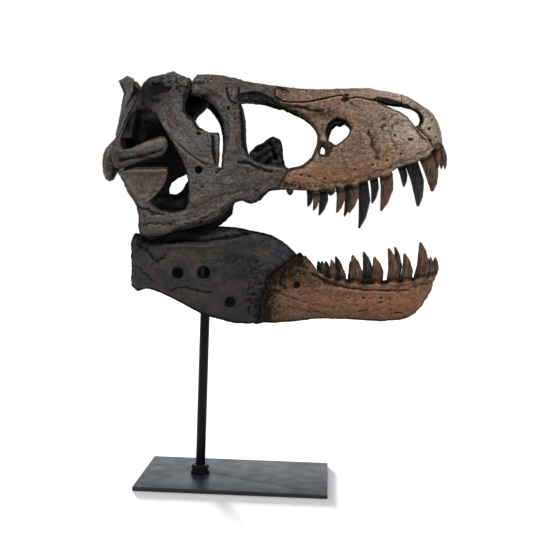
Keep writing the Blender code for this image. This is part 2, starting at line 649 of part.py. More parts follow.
def fuse(body, pieces, name, collection):
    """Joins pieces to a body with one union, then keeps the largest closed surface."""
    group = bpy.data.collections.new(name + "_pieces")
    bpy.context.scene.collection.children.link(group)
    for piece in pieces:
        collection.objects.unlink(piece)
        group.objects.link(piece)
    union = body.modifiers.new("join", "BOOLEAN")
    union.operation = "UNION"
    union.operand_type = "COLLECTION"
    union.collection = group
    union.solver = "EXACT"
    applied(body)
    body.name = name
    for piece in list(group.objects):
        bpy.data.objects.remove(piece, do_unlink=True)
    bpy.data.collections.remove(group)
    keep_largest(body)
    return body


def islands_of(shape):
    """Sets of faces that hang together, the largest surface first."""
    islands = []
    unseen = set(shape.faces)
    while unseen:
        island = set()
        queue = [unseen.pop()]
        while queue:
            face = queue.pop()
            island.add(face)
            for edge in face.edges:
                for other in edge.link_faces:
                    if other in unseen:
                        unseen.discard(other)
                        queue.append(other)
        islands.append(island)
    return sorted(islands, key=lambda island: sum(face.calc_area() for face in island), reverse=True)


def keep_largest(part):
    """Leaves only the largest closed surface."""
    shape = bmesh.new()
    shape.from_mesh(part.data)
    bmesh.ops.remove_doubles(shape, verts=shape.verts, dist=WELD * MM)
    bmesh.ops.dissolve_degenerate(shape, edges=shape.edges, dist=WELD * MM)
    bmesh.ops.triangulate(shape, faces=shape.faces)
    for island in islands_of(shape)[1:]:
        bmesh.ops.delete(shape, geom=list(island), context="FACES")
    bmesh.ops.delete(shape, geom=[v for v in shape.verts if not v.link_faces], context="VERTS")
    shape.to_mesh(part.data)
    shape.free()


def tooth(foot, tip, width, collection):
    """A curved, tapered tooth. The foot is on the tooth margin and the root goes on behind it."""
    foot, tip = Vector(foot), Vector(tip)
    length = (tip - foot).length
    rings = [(foot - (tip - foot) / length * ROOT_DEPTH, ROOT_TAPER)]
    for share, size in TOOTH_PROFILE:
        bow = Vector((length * TOOTH_BOW * math.sin(math.pi * share), 0, 0))
        rings.append((foot.lerp(tip, share) + bow, size))
    half = width / 2
    return loft("tooth", [
        oval(centre, (1, 0, 0), (0, 1, 0), half * size, half * size * TOOTH_FLATNESS, TOOTH_SIDES)
        for centre, size in rings
    ], collection)


def row_of_teeth(side, teeth, edge, side_at, setback, up, collection):
    """Teeth along a margin, inwards of the bone's face. up is -1 in the upper jaw and 1 in the lower."""
    margin = sorted((p.x, p.y) for p in smooth_run(edge, RUN_STEP))
    made = []
    for x, length, width, lean in teeth:
        z = float(np.interp(x, [p[0] for p in margin], [p[1] for p in margin]))
        y = side * max(side_at(x, z) - setback, width / 2 * TOOTH_FLATNESS + 2 * MIDLINE)
        foot = (x, y, z - TOOTH_SINK * up)
        splay = UPPER_SPLAY if up < 0 else LOWER_SPLAY
        made.append(tooth(foot, (x - lean, y * splay, z + up * length), width, collection))
    return made


def premaxilla(side, name, collection):
    """The front of the snout, with its two small teeth, round the front of the nostril."""
    outline = ring(
        (PREMAXILLA_FRONT, PREMAXILLA_MARGIN, PREMAXILLA_MAXILLA, NARIS_FRONT, PREMAXILLA_NASAL), FINE_STEP
    )

    def thickness(x, z):
        return FRONT_WALL + growth(x, *SNOUT_TIP_GROWTH) + hill(x, z, *PREMAXILLA_GUM)

    outer, inner = faces(skull_side, (), thickness)
    body = bone_plate(name, side, [outline], outer, inner, FINE_STEP, collection)
    teeth = row_of_teeth(
        side, PREMAXILLA_TEETH, PREMAXILLA_MARGIN, skull_side, PREMAXILLA_SETBACK, -1, collection
    )
    return fuse(body, teeth, name, collection)


def maxilla(side, name, collection):
    """The tooth-bearing flank, with a thin sunk lamina that narrows its window."""
    outline = ring(
        (MAXILLA_TEETH_EDGE, PREMAXILLA_MAXILLA, NARIS_FLOOR, MAXILLA_NASAL, MAXILLA_LACRIMAL,
         ANTORBITAL_FRONT, MAXILLA_JUGAL), RUN_STEP,
    )
    fenestra = hole_ring(FENESTRA, RUN_STEP)

    def thickness(x, z):
        return WALL + TOOTH_BAR * math.exp(-((z - at(x, MARGIN_HEIGHT)) / TOOTH_BAR_HEIGHT) ** 2)

    outer, inner = faces(skull_side, MAXILLA_RELIEF, thickness)
    holes = [fenestra, hole_ring(FENESTRA_SLIT, RUN_STEP)]
    body = bone_plate(name, side, [outline] + holes, outer, inner, RUN_STEP, collection)

    def lamina_face(x, z):
        return outer(x, z) - LAMINA_SINK

    front, back = faces(lamina_face, (), WALL)
    lamina_loops = [inset(fenestra, -LAMINA_REACH), hole_ring(LAMINA_EDGE, FINE_STEP)]
    lamina = bone_plate("lamina", side, lamina_loops, front, back, FINE_STEP, collection)
    teeth = row_of_teeth(
        side, LEFT_UPPER_TEETH if side > 0 else RIGHT_UPPER_TEETH, MAXILLA_TEETH_EDGE, skull_side,
        UPPER_SETBACK, -1, collection,
    )
    return fuse(body, [lamina] + teeth, name, collection)


def nasals(name, collection):
    """An arch over the snout, from the forehead to the front of the nostrils."""
    suture = sorted((p.x, p.y) for p in smooth_run(MAXILLA_NASAL, RUN_STEP))
    first = (suture[0][0] + SUTURE_GAP, suture[0][1] + SUTURE_GAP)
    feet = [*NASAL_REAR_FEET, first, *((x, z + SUTURE_GAP) for x, z in suture[1:]), *NASAL_FRONT_FEET]
    turns = [math.pi * i / NASAL_ARC for i in range(NASAL_ARC + 1)]
    sections = []
    for x, foot in feet:
        rise = at(x, NASAL_TOP) - foot
        half = skull_side(x, foot) + NASAL_FLARE
        if x <= NASAL_REAR_FEET[-1][0]:
            half = min(NASAL_HALF_WIDTH, half)
        wall = min(NASAL_WALL, half * NASAL_WALL_SHARE)
        roof = min(NASAL_WALL, rise * NASAL_WALL_SHARE)
        hollow, ceiling = half - wall, rise - roof
        outer = [(x, -half * math.cos(a), foot + rise * math.sin(a) ** NASAL_SQUARENESS) for a in turns]
        inner = [(x, hollow * math.cos(a), foot + ceiling * math.sin(a) ** NASAL_SQUARENESS) for a in turns]
        sections.append(outer + inner)
    return loft(name, sections, collection, arched=True)


def lacrimal(side, name, collection):
    """The bar in front of the eye, with the low horn over it. It stops short of the nasals."""
    outline = ring(
        (LACRIMAL_ROOF, LACRIMAL_NASAL, MAXILLA_LACRIMAL, ANTORBITAL_TOP, LACRIMAL_JUGAL, ORBIT_FRONT,
         LACRIMAL_REAR), RUN_STEP,
    )
    outer, behind = faces(skull_side, LACRIMAL_RELIEF, FRONT_WALL)
    beside_nasals = NASAL_HALF_WIDTH + LACRIMAL_CLEARANCE

    def inner(x, z):
        if z > LACRIMAL_SHELF_FOOT and x < LACRIMAL_SHELF_FRONT:
            return beside_nasals + max(0.0, FOREHEAD[1][0] - x)
        return max(beside_nasals, behind(x, z))

    return bone_plate(name, side, [outline], outer, inner, RUN_STEP, collection)


def jugal(side, name, collection):
    """The cheek, under the eye, with its foramen."""
    outline = ring(
        (MAXILLA_JUGAL, CHEEK_FRONT, JUGAL_QUADRATOJUGAL, LOWER_TEMPORAL_FRONT, JUGAL_POSTORBITAL,
         ORBIT_BOTTOM, LACRIMAL_JUGAL, ANTORBITAL_BOTTOM), RUN_STEP,
    )
    outer, inner = faces(skull_side, JUGAL_RELIEF, WALL)
    foramen = round_hole(*JUGAL_FORAMEN, SMALL_HOLE_SIDES)
    return bone_plate(name, side, [outline, foramen], outer, inner, RUN_STEP, collection)


def postorbital(side, name, collection):
    """The bar behind the eye and the boss over it, which reaches in to the forehead."""
    outline = ring(
        (POSTORBITAL_ROOF, POSTORBITAL_FRONT, JUGAL_POSTORBITAL, UPPER_TEMPORAL_FRONT,
         POSTORBITAL_SQUAMOSAL), RUN_STEP,
    )
    outer, behind = faces(skull_side, POSTORBITAL_RELIEF, HEAVY_WALL)

    def inner(x, z):
        return np.interp(x, *zip(*BROW_REACH)) if z > BROW_FOOT else behind(x, z)

    return bone_plate(name, side, [outline], outer, inner, RUN_STEP, collection)


def squamosal(side, name, collection):
    """The rear upper corner, with the beam that juts into the opening behind the eye."""
    outline = ring(
        (SQUAMOSAL_ROOF, SQUAMOSAL_CREST, SQUAMOSAL_REAR, SQUAMOSAL_FORK, POSTORBITAL_SQUAMOSAL), FINE_STEP
    )

    def thickness(x, z):
        return SQUAMOSAL_ROOF_WALL if z > SQUAMOSAL_ROOF_FOOT else HEAVY_WALL

    outer, inner = faces(skull_side, SQUAMOSAL_RELIEF, thickness)
    return bone_plate(name, side, [outline], outer, inner, FINE_STEP, collection)


def quadratojugal(side, name, collection):
    """The flared plate over the jaw joint."""
    top = LEFT_QUADRATOJUGAL_TOP if side > 0 else QUADRATOJUGAL_TOP
    front = LEFT_TEMPORAL_REAR if side > 0 else LOWER_TEMPORAL_REAR
    outline = ring((QUADRATOJUGAL_REAR, top, front, JUGAL_QUADRATOJUGAL), RUN_STEP)
    outer, inner = faces(skull_side, QUADRATOJUGAL_RELIEF, WALL)
    return bone_plate(name, side, [outline], outer, inner, RUN_STEP, collection)


def quadrate(side, name, collection):
    """The pillar inside the cheek, from the jaw joint up to the squamosal, and its thin inner wing."""
    def wing_face(x, z):
        return at(x, QUADRATE_WING_SPREAD)

    outer, inner = faces(wing_face, (), THIN_WALL)
    outline = hole_ring(LEFT_QUADRATE_WING if side > 0 else RIGHT_QUADRATE_WING, RUN_STEP)
    wing = bone_plate("wing", side, [outline], outer, inner, RUN_STEP, collection)
    pillar = upright_ovals(name, side, QUADRATE_PILLAR, collection)
    return fuse(pillar, [wing], name, collection)


def braincase(name, collection):
    """Forehead, crest, occiput and floor, all fused as in an adult."""
    roof = []
    for x, half, top, bottom in FOREHEAD:
        right = [
            (x, -half * FOREHEAD_FOOT_SHARE, bottom), (x, -half, bottom + FOREHEAD_FOOT_SLOPE),
            (x, -half, top - FOREHEAD_TOP_SLOPE), (x, -half * FOREHEAD_TOP_SHARE, top),
        ]
        roof.append(right + [(x, -y, z) for x, y, z in reversed(right)])
    body = loft(name, roof, collection)
    pieces = [
        lengthwise_ovals("vault", 1, VAULT, collection),
        lengthwise_ovals("condyle", 1, CONDYLE, collection),
        lengthwise_ovals("rostrum", 1, ROSTRUM, collection),
        loft("crest", [[(x + lean, y, z) for x, z in CREST] for y, lean in CREST_LEAN], collection),
    ]
    for side in (-1, 1):
        ends = [[(x, side * y, z) for x, z in section] for y, section in CREST_END]
        pieces.append(loft("crest_end", ends, collection))
        pieces.append(sideways_ovals("wing", side, OCCIPITAL_WING, collection))
        pieces.append(upright_ovals("tuber", side, TUBER, collection))
    return fuse(body, pieces, name, collection)


def pterygoid(side, name, collection):
    """The long palate plate between the jaw joints and the snout."""
    def spread(x, z):
        return at(x, PTERYGOID_SPREAD)

    outer, inner = faces(spread, (), WALL)
    outline = hole_ring(PTERYGOID, RUN_STEP)
    return bone_plate(name, side, [outline], outer, inner, RUN_STEP, collection)


def palatine(side, name, collection):
    """The folded plate that shows low in the big opening of the snout."""
    def spread(x, z):
        return PALATINE_SPREAD

    outer, inner = faces(spread, PALATINE_RELIEF, FRONT_WALL)
    outline = hole_ring(PALATINE, RUN_STEP)
    return bone_plate(name, side, [outline], outer, inner, RUN_STEP, collection)


def vomer(name, collection):
    """The slender bar along the middle of the palate."""
    return lengthwise_ovals(name, 1, VOMER, collection)


def surangular(side, name, collection):
    """The rear of the lower jaw, with its joint socket and the holes of its flank."""
    outline = ring((SURANGULAR_TOP, DENTARY_SURANGULAR, SURANGULAR_BOTTOM), JAW_STEP)
    holes = [round_hole(*hole) for hole in SURANGULAR_HOLES]

    def thickness(x, z):
        return WALL + (JOINT_BLOCK if x < JOINT_BLOCK_FRONT and z > JOINT_BLOCK_FOOT else 0.0)

    outer, inner = faces(jaw_side, SURANGULAR_RELIEF, thickness)
    body = bone_plate(name, side, [outline] + holes, outer, inner, JAW_STEP, collection)
    socket = lengthwise_ovals("socket", side, JAW_SOCKET, collection)
    return fuse(body, [socket], name, collection)


def dentary(side, name, collection):
    """The tooth-bearing front of the lower jaw, thicker at its teeth and at the chin."""
    outline = ring((DENTARY_TOP, DENTARY_BOTTOM, DENTARY_SURANGULAR), JAW_STEP)

    def thickness(x, z):
        return FRONT_WALL + growth(x, *TOOTH_ROW_GROWTH) + growth(x, *CHIN_GROWTH)

    outer, inner = faces(jaw_side, DENTARY_RELIEF, thickness)
    hole = round_hole(*DENTARY_HOLE, SMALL_HOLE_SIDES)
    body = bone_plate(name, side, [outline, hole], outer, inner, JAW_STEP, collection)
    teeth = row_of_teeth(
        side, LEFT_LOWER_TEETH if side > 0 else RIGHT_LOWER_TEETH, DENTARY_TOP, jaw_side, LOWER_SETBACK,
        1, collection,
    )
    return fuse(body, teeth, name, collection)


def stand_plate(name, collection):
    """The flat plate, turned a little under the skull."""
    turn = math.cos(PLATE_TURN), math.sin(PLATE_TURN)
    corners = []
    for along, across in ((-1, -1), (1, -1), (1, 1), (-1, 1)):
        x, y = along * PLATE_LENGTH / 2, across * PLATE_DEPTH / 2
        corners.append((
            PLATE_CENTRE[0] + x * turn[0] - y * turn[1],
            PLATE_CENTRE[1] + x * turn[1] + y * turn[0],
        ))
    return loft(name, [[(x, y, z) for x, y in corners] for z in (0.0, PLATE_THICKNESS)], collection)


def upright(name, sides, radius, bottom, top, collection, lean=0.0, turn=0.0):
    """An upright prism or cylinder over the origin, which may lean along x."""
    turns = [turn + 2 * math.pi * i / sides for i in range(sides)]
    sections = []
    for z in (bottom, top):
        shift = (z - PLATE_THICKNESS) * math.tan(lean)
        sections.append([(shift + radius * math.cos(a), radius * math.sin(a), z) for a in turns])
    return loft(name, sections, collection)


def bored(part, radius, low, collection):
    """Cuts the rod's clearance hole into a stand piece, from a height up."""
    high = max(v.co.z for v in part.data.vertices) / MM + 1
    cutter = upright("bore", ROUND_SIDES, radius, low, high, collection)
    cut = part.modifiers.new("bore", "BOOLEAN")
    cut.operation = "DIFFERENCE"
    cut.object = cutter
    cut.solver = "EXACT"
    applied(part)
    bpy.data.objects.remove(cutter, do_unlink=True)
    keep_largest(part)
    return part


def paint(part, name, look):
    """Gives a part its own material. Colours are stored linear."""
    colour, roughness, metallic = look
    material = bpy.data.materials.new(name)
    material.use_nodes = True
    shader = material.node_tree.nodes["Principled BSDF"]
    linear = [((c + 0.055) / 1.055) ** 2.4 if c > 0.04045 else c / 12.92 for c in colour]
    shader.inputs["Base Color"].default_value = (*linear, 1.0)
    shader.inputs["Roughness"].default_value = roughness
    shader.inputs["Metallic"].default_value = metallic
    part.data.materials.clear()
    part.data.materials.append(material)
    material.diffuse_color = (*linear, 1.0)


def soft_share(value):
    """0 up to 0 and 1 from 1, with a soft change between."""
    share = float(np.clip(value, 0, 1))
    return share * share * (3 - 2 * share)


def left_slip(x, y):
    """How far the cast's left side lies forward of its right side."""
    snout = at(x, SNOUT_SLIP) * soft_share(y / SLIP_BLEND)
    cheek = at(x, CHEEK_SLIP) * soft_share((y - CHEEK_SLIP_Y) / SLIP_BLEND)
    return snout + cheek


def settle(part):
    """Tips the upper skull a little to the right, and slips its left side along x, as in the cast."""
    for vertex in part.data.vertices:
        x, y = vertex.co.x / MM, vertex.co.y / MM
        vertex.co.x += left_slip(x, y) * MM
        vertex.co.z += (y - ROLL_AXIS_Y) * math.tan(SKULL_ROLL) * MM
    part.data.update()


def make_stand(collection):
    """The plate, and the rod in its blind socket, held by a washer and a nut."""
    plate = stand_plate("stand_base", collection)
    bored(plate, ROD_RADIUS + STAND_GAP, ROD_SOCKET_FLOOR, collection)
    rod_foot = ROD_SOCKET_FLOOR + STAND_GAP
    rod = upright("stand_rod", ROUND_SIDES, ROD_RADIUS, rod_foot, ROD_TOP, collection, lean=ROD_LEAN)
    washer_foot = PLATE_THICKNESS + STAND_GAP
    washer_top = washer_foot + WASHER_HEIGHT
    washer = upright("stand_washer", ROUND_SIDES, WASHER_RADIUS, washer_foot, washer_top, collection)
    nut_foot = washer_top + STAND_GAP
    nut_radius = NUT_ACROSS_FLATS / math.sqrt(3)
    nut = upright("stand_nut", 6, nut_radius, nut_foot, nut_foot + NUT_HEIGHT, collection, turn=NUT_TURN)
    for part in (washer, nut):
        bored(part, ROD_RADIUS + 2 * STAND_GAP, 0, collection)
    for part, look in ((plate, BLACK_STEEL), (rod, BLACK_STEEL), (washer, DARK_NUT), (nut, DARK_NUT)):
        paint(part, part.name, look)


# Bones in pairs, and those on the midline, with the function that makes each and its look
PAIRED_BONES = (
    ("premaxilla", premaxilla, PALE_BONE), ("maxilla", maxilla, SNOUT_BONE),
    ("lacrimal", lacrimal, REAR_BONE), ("jugal", jugal, REAR_BONE),
    ("postorbital", postorbital, REAR_BONE), ("squamosal", squamosal, REAR_BONE),
    ("quadratojugal", quadratojugal, REAR_BONE), ("quadrate", quadrate, DARK_BONE),
    ("pterygoid", pterygoid, DARK_BONE), ("palatine", palatine, DARK_BONE),
    ("surangular", surangular, DARK_BONE), ("dentary", dentary, JAW_BONE),
)
MIDLINE_BONES = (
    ("nasals", nasals, SNOUT_BONE), ("braincase", braincase, REAR_BONE), ("vomer", vomer, DARK_BONE),
)
JAW_BONES = ("surangular", "dentary")


def main():
    """Makes every bone and the stand in one collection."""
    for leftover in list(bpy.data.objects):
        bpy.data.objects.remove(leftover, do_unlink=True)
    collection = bpy.data.collections.new(PART_NAME)
    bpy.context.scene.collection.children.link(collection)
    for bone, make, look in PAIRED_BONES:
        for side, word in ((-1, "right"), (1, "left")):
            part = make(side, bone + "_" + word, collection)
            if bone not in JAW_BONES:
                settle(part)
            paint(part, part.name, look)
    for bone, make, look in MIDLINE_BONES:
        part = make(bone, collection)
        settle(part)
        paint(part, part.name, look)
    make_stand(collection)


main()
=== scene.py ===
"""The looks of a quarter-scale cast of a Tyrannosaurus rex skull on its black steel stand.

Every bone starts as a fine copy of its solid. The copy is smoothed, then carved with the cracks,
pits, ridges and hollows of that bone, and carries maps of where the dark wash and painted shade,
the rubbed edges and painted highlights, and the rust stains lie. Shapes are in millimetres, in the
frame of the solids: +X to the snout, +Y to the animal's left and +Z up. Carvings are given by x
and z as seen from the right side.
"""

import json
import math

import bmesh
import bpy
import numpy as np
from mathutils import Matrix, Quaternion, Vector, noise


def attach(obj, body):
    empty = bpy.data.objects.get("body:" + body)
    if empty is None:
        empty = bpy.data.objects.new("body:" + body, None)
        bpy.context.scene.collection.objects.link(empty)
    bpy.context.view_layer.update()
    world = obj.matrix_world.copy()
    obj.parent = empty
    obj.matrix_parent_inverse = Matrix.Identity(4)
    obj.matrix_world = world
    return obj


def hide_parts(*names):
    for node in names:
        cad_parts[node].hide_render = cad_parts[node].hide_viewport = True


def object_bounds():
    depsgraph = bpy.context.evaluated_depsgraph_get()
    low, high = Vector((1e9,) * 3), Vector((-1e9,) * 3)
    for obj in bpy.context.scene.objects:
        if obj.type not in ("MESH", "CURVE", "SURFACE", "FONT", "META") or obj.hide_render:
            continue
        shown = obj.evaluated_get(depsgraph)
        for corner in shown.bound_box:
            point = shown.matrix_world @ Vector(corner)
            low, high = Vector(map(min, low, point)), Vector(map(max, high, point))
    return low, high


MM = 0.001

# Size of the faces of a bone's fine copy, with larger ones on a bone that would have too many
VOXEL = 0.75
MOST_TRIANGLES = 170_000

# Vertices closer than this are joined
WELD = 0.001

# How far a copy grows, which closes the seams inside it or narrows those around it
SEAM_GROWTH = 0.3
SUTURE_GROWTH = 0.1

# Smoothing: a step in, a slightly longer step out, how many of them, and how much firmer teeth are
SMOOTH_IN = 0.5
SMOOTH_OUT = -0.53
SMOOTH_ROUNDS = 22
TOOTH_FIRMNESS = 0.7

# How far the edges of a plate of bone fall below its middle
DOME = 5.5
DOME_ROUNDS = 60
DOME_MOST = 0.6

# How the cast's upper skull is tipped, and how far its left side lies forward, by x
SKULL_ROLL = math.radians(2.0)
ROLL_AXIS_Y = -50.0
SNOUT_SLIP = ((40, 0), (75, 3), (110, 5.5), (150, 6.5), (190, 5), (225, 1.5), (248, 0))
CHEEK_SLIP = ((-30, 0), (5, -3.5), (28, -3.5), (50, 0))
CHEEK_SLIP_Y = 22.0
SLIP_BLEND = 8.0

# Tooth margins, as x and z, where they begin and where the teeth stand on them, by side for the upper jaw
FIRST_UPPER_X = 78
FIRST_LOWER_X = 114
UPPER_MARGIN = (
    (72, 304), (90, 304), (100, 303.7), (115, 303.5), (132, 306.5), (151, 311), (167, 316), (184, 322),
    (193, 328), (212, 334), (223, 341), (233.5, 349), (240, 353), (246, 357),
)
LOWER_MARGIN = (
    (112, 228), (125, 217), (142, 213), (158, 211), (187, 211), (213, 214), (232, 217), (243, 219),
)
UPPER_TEETH_X = {
    -1: (84.5, 111, 126.5, 136, 149.5, 182.5, 223.5), 1: (106, 119.5, 145, 160.5, 173.5, 204.5, 215.8),
}
LOWER_TEETH_X = (120.5, 130, 141, 154.5, 176.5, 194.5, 209, 224, 235)

# How far sockets and roots lie beyond the margin, and half the width and height of a root's swelling
SOCKET_RISE = 1.5
ROOT_RISE = 6
ROOT_RADII = (5, 8)

# Teeth: the change from bone to tooth, the height of the foot that is darkened, and how far they grow
GUM_FADE = 1.5
TOOTH_FOOT = 7.0
TOOTH_SWELL = 0.5

# Edges and outlines that carvings follow
ANTORBITAL_FRONT = (
    (71, 389), (77, 388), (86, 383.5), (97, 378), (107, 369), (112, 359), (111, 348), (106, 337), (97, 329),
    (84, 326),
)
FENESTRA = (
    (121, 363), (124, 371), (132, 378), (141, 376), (146, 368), (143, 360), (131, 350), (123, 355),
)
MAXILLA_NASAL = (
    (69, 397), (77, 393), (99, 393), (121, 398), (137, 402), (143, 398), (152, 400), (172, 397),
)
JUGAL_POSTORBITAL = ((13.5, 325), (3, 326.5), (-9, 332), (-25, 345), (-40, 361))
LACRIMAL_HOLLOW = (
    (33, 397), (45, 401.5), (56, 400.5), (67, 396), (72, 389), (60, 390), (47, 393), (35, 391),
)
SQUAMOSAL_HOLLOW = ((-54, 405), (-46, 406), (-40, 401), (-34, 400), (-38, 395), (-50, 394))
CHEEK_HOLLOW = ((-76, 315), (-38, 317), (-41, 305), (-50, 295), (-62, 296))
# Outlines of painted shade on the nostril's walls and in the slot beside it
NOSTRIL_FRONT = (
    (199, 397), (207, 395), (217, 385.5), (220, 377), (218, 371), (213, 371), (208, 384), (199, 389),
)
NOSTRIL_ROOF = (
    (168, 399), (174, 401.5), (183, 400.5), (192, 398.5), (201, 396), (201, 388), (168, 392),
)
NOSTRIL_SLOT = ((211, 372), (217, 368.5), (222, 361), (224.5, 357), (219, 358.5), (213, 366.5))
ORBIT_FRONT = ((18, 338), (19, 352), (16.5, 369), (8.5, 383), (-2, 391.5), (-13, 393))
DENTARY_SURANGULAR = (
    (94, 239.5), (80, 229), (69, 220), (62, 212), (63, 204), (58, 193), (58, 182), (56, 170.3),
)
CHEEK_EDGE = ((72, 304), (64, 301.5), (56, 293.5), (46, 289), (38, 292.5), (30, 290), (11.5, 272), (-26, 262))

# Faces that look out of the skull: a soft range of how far they turn, and where its ends begin
FACING = (0.2, 0.6)
OUTWARD = (0.1, 0.5)
ROOF_Z = (394, 402)
REAR_BEHIND = (58, 72)
FRONT_X = (205, 225)
CREST_END_BEHIND = (62, 70)
CREST_END_ASIDE = (36, 44)
NASAL_CORE_Z = 385

# Shape of the lip round a hole and of its painted shade, of a pit, and of rough bone with dark wash and
# painted shade in its gaps
RIM_OUT = 1.6
RIM_SOFTNESS = 1.0
RIM_SHADE = 0.9
PIT_WALL = (0.75, 1.1)
LIP_OUT = 1.35
LIP_SOFTNESS = 0.3
RUGOSE_RISE = 0.65
RUGOSE_WASH_AND_SHADE = 0.8
RUGOSE_GAPS = (0.15, 0.5)

# Thin cracks: their patches in crack sizes, the noise where a patch begins and their dark wash and painted
# shade
CRACK_PATCH = 2.2
CRACK_PATCH_START = (0.3, 0.5)
CRACK_WASH_AND_SHADE = 0.4

# Sizes of the weathering all over a bone
RAGGED_SIZE = 5.0
LUMP_SIZE = 12.0
KNOT_SIZE = 4.5
GRAIN_SIZE = (9.0, 3.0, 2.2)
PORE_SIZE = 1.9
FLUTE_SIZE = (1.6, 1.6, 14.0)
STAIN_SIZE = 16.0

# How high or deep the weathering is, in millimetres, with higher knots on the edges of a bone
LUMP_HEIGHT = 0.5
KNOT_HEIGHT = 0.2
EDGE_KNOT_HEIGHT = 0.4
GRAIN_HEIGHT = 0.2
PORE_DEPTH = 0.2
FLUTE_HEIGHT = 0.16

# Places in the noise, so that no two of its patterns are alike
NOISE_AT = {
    "ragged": 31.7, "lumps": 7.3, "knots": 17.3, "grain": 3.1, "pores": 12.9, "flutes": 5.0, "stain": 29.0,
    "rugose": 57.0, "cracks": 71.0, "crack_patches": 83.0,
}

# Where the snout's colour turns into the paler one of its tip
TIP_X = (150, 205)

# Hollows and edges are found at two sizes: rounds of blur, then the soft range of each. Hollows take dark
# wash and painted shade, edges rubbed paint and painted highlight
FINE_ROUNDS = 6
BROAD_ROUNDS = 45
FINE_HOLLOW = (0.04, 0.25)
BROAD_HOLLOW = (0.1, 1.0)
FINE_EDGE = (0.02, 0.14)
BROAD_EDGE = (0.15, 1.0)

# Light from the sky and from below, for all but the camera, and how soft the change is between
LIGHT_ABOVE = 0.8
LIGHT_BELOW = 0.12
LIGHT_BLEND = 0.6

# Edges of the stand flatter than the first angle go, and those sharper than the second are rounded
FLAT_ANGLE = math.radians(1)
SHARP_ANGLE = math.radians(35)

# Floor, just under the plate
FLOOR_WHITE = 0.93
FLOOR_SIZE = 12
FLOOR_DROP = 0.0002

# Camera, about a metre away as the plate's perspective shows
CAMERA_PLACE = Vector((0.0372, -1.0483, 0.2775))
CAMERA_YAW = math.radians(1.51)
CAMERA_PITCH = math.radians(-2.90)
CAMERA_ROLL = math.radians(1.42)
CAMERA_LENS = 67.54
CAMERA_SENSOR = 36.0


def linear(red, green, blue):
    """A colour given from 0 to 255 on a screen, as linear values with alpha."""
    values = [channel / 255 for channel in (red, green, blue)]
    return tuple(((v + 0.055) / 1.055) ** 2.4 if v > 0.04045 else v / 12.92 for v in values) + (1.0,)


# Colours of each finish: body of the bone, its rubbed and painted highlights, the dark of its wash and
# painted shade, and the rust stain
LOOKS = {
    "snout_tip": ((116, 99, 84), (180, 162, 143), (18, 14, 13), (140, 98, 60)),
    "snout_bone": ((92, 68, 51), (156, 130, 105), (15, 12, 12), (124, 76, 38)),
    "rear_bone": ((44, 40, 38), (104, 98, 92), (7, 7, 12), (92, 64, 48)),
    "dark_bone": ((13, 14, 20), (42, 41, 46), (5, 5, 8), (72, 52, 40)),
    "jaw_bone": ((88, 60, 42), (142, 108, 80), (12, 10, 11), (134, 80, 44)),
}
COOL = (52, 60, 70)
EARTH = (92, 66, 50)
DUST_AND_SHEEN = (120, 118, 115)
TOOTH_BROWN = (104, 72, 54)
FAR_TOOTH_SHADE = (60, 57, 61)

# Sides of the skull: the word for each in names, and the colour of its teeth, with painted shade in the dark
# teeth of the far, left side
SIDES = {-1: "right", 0: "middle", 1: "left"}
TOOTH_COLOURS = {-1: TOOTH_BROWN, 0: TOOTH_BROWN, 1: FAR_TOOTH_SHADE}

# Painted shade on faces that look into the skull, and how far outer faces of bones inside it are free of it
INNER_SHADE = 0.92
INNER_BONES = ("pterygoid", "quadrate")
INNER_SHARE = 0.15

# How much each finish has of the cool colour, the earth colour and dark specks
PATCHES = {
    "snout_tip": (0.15, 0.4, 0.3),
    "snout_bone": (0.25, 0.2, 0.35),
    "rear_bone": (0.65, 0.55, 0.55),
    "dark_bone": (0.15, 0.35, 0.4),
    "jaw_bone": (0.1, 0.2, 0.35),
}

# Bones that show no seam between them, and share one surface
FUSED = (("postorbital", "squamosal"), ("lacrimal", "jugal", "quadratojugal"))


def node_name(kind, side):
    """Name of a bone's node: a bone of the middle has no word for its side."""
    return kind + "_" + SIDES[side] if side else kind


def read(collection, name, width, kind=np.float32):
    """One value of every item in a part of a mesh, in rows of a width."""
    values = np.empty(len(collection) * width, kind)
    collection.foreach_get(name, values)
    return values.reshape(-1, width)


def read_points(mesh):
    """Places of a mesh's vertices, in millimetres."""
    return read(mesh.vertices, "co", 3).astype(float) / MM


def write_points(mesh, points):
    """Moves a mesh's vertices to places in millimetres."""
    mesh.vertices.foreach_set("co", (points * MM).astype(np.float32).ravel())
    mesh.update()


def read_normals(mesh):
    """Directions in which a mesh's vertices face."""
    return read(mesh.vertex_normals, "vector", 3).astype(float)


def read_edges(mesh):
    """Pairs of vertices that an edge joins."""
    return read(mesh.edges, "vertices", 2, np.int32)


def neighbour_mean(values, edges):
    """The mean of each vertex's neighbours."""
    count = len(values)
    ends = np.concatenate([edges[:, 0], edges[:, 1]])
    others = np.concatenate([edges[:, 1], edges[:, 0]])
    degree = np.maximum(np.bincount(ends, minlength=count), 1)
    sums = [np.bincount(ends, weights=column[others], minlength=count) for column in values.T]
    return np.stack([total / degree for total in sums], axis=1)


def smooth(points, edges, share):
    """Takes out facets and keeps the volume, by a step in and a slightly longer step out."""
    for _ in range(SMOOTH_ROUNDS):
        for move in (SMOOTH_IN, SMOOTH_OUT):
            points = points + move * share * (neighbour_mean(points, edges) - points)
    return points


def blur(values, edges, rounds):
    """Values or points evened out over each vertex's surroundings."""
    values = values[:, None] if values.ndim == 1 else values
    for _ in range(rounds):
        values = 0.5 * values + 0.5 * neighbour_mean(values, edges)
    return values[:, 0] if values.shape[1] == 1 else values


def cloud(points, size, octaves, shift=0.0):
    """Noise of about -1 to 1 with lumps of a size, which may differ along x, y and z."""
    scaled = points / np.asarray(size, float) + shift
    return np.array([noise.fractal(p, 1.0, 2.0, octaves) for p in scaled.tolist()])


def step(values, low, high):
    """0 below low and 1 above high, with a soft change between."""
    t = np.clip((values - low) / (high - low), 0, 1)
    return t * t * (3 - 2 * t)


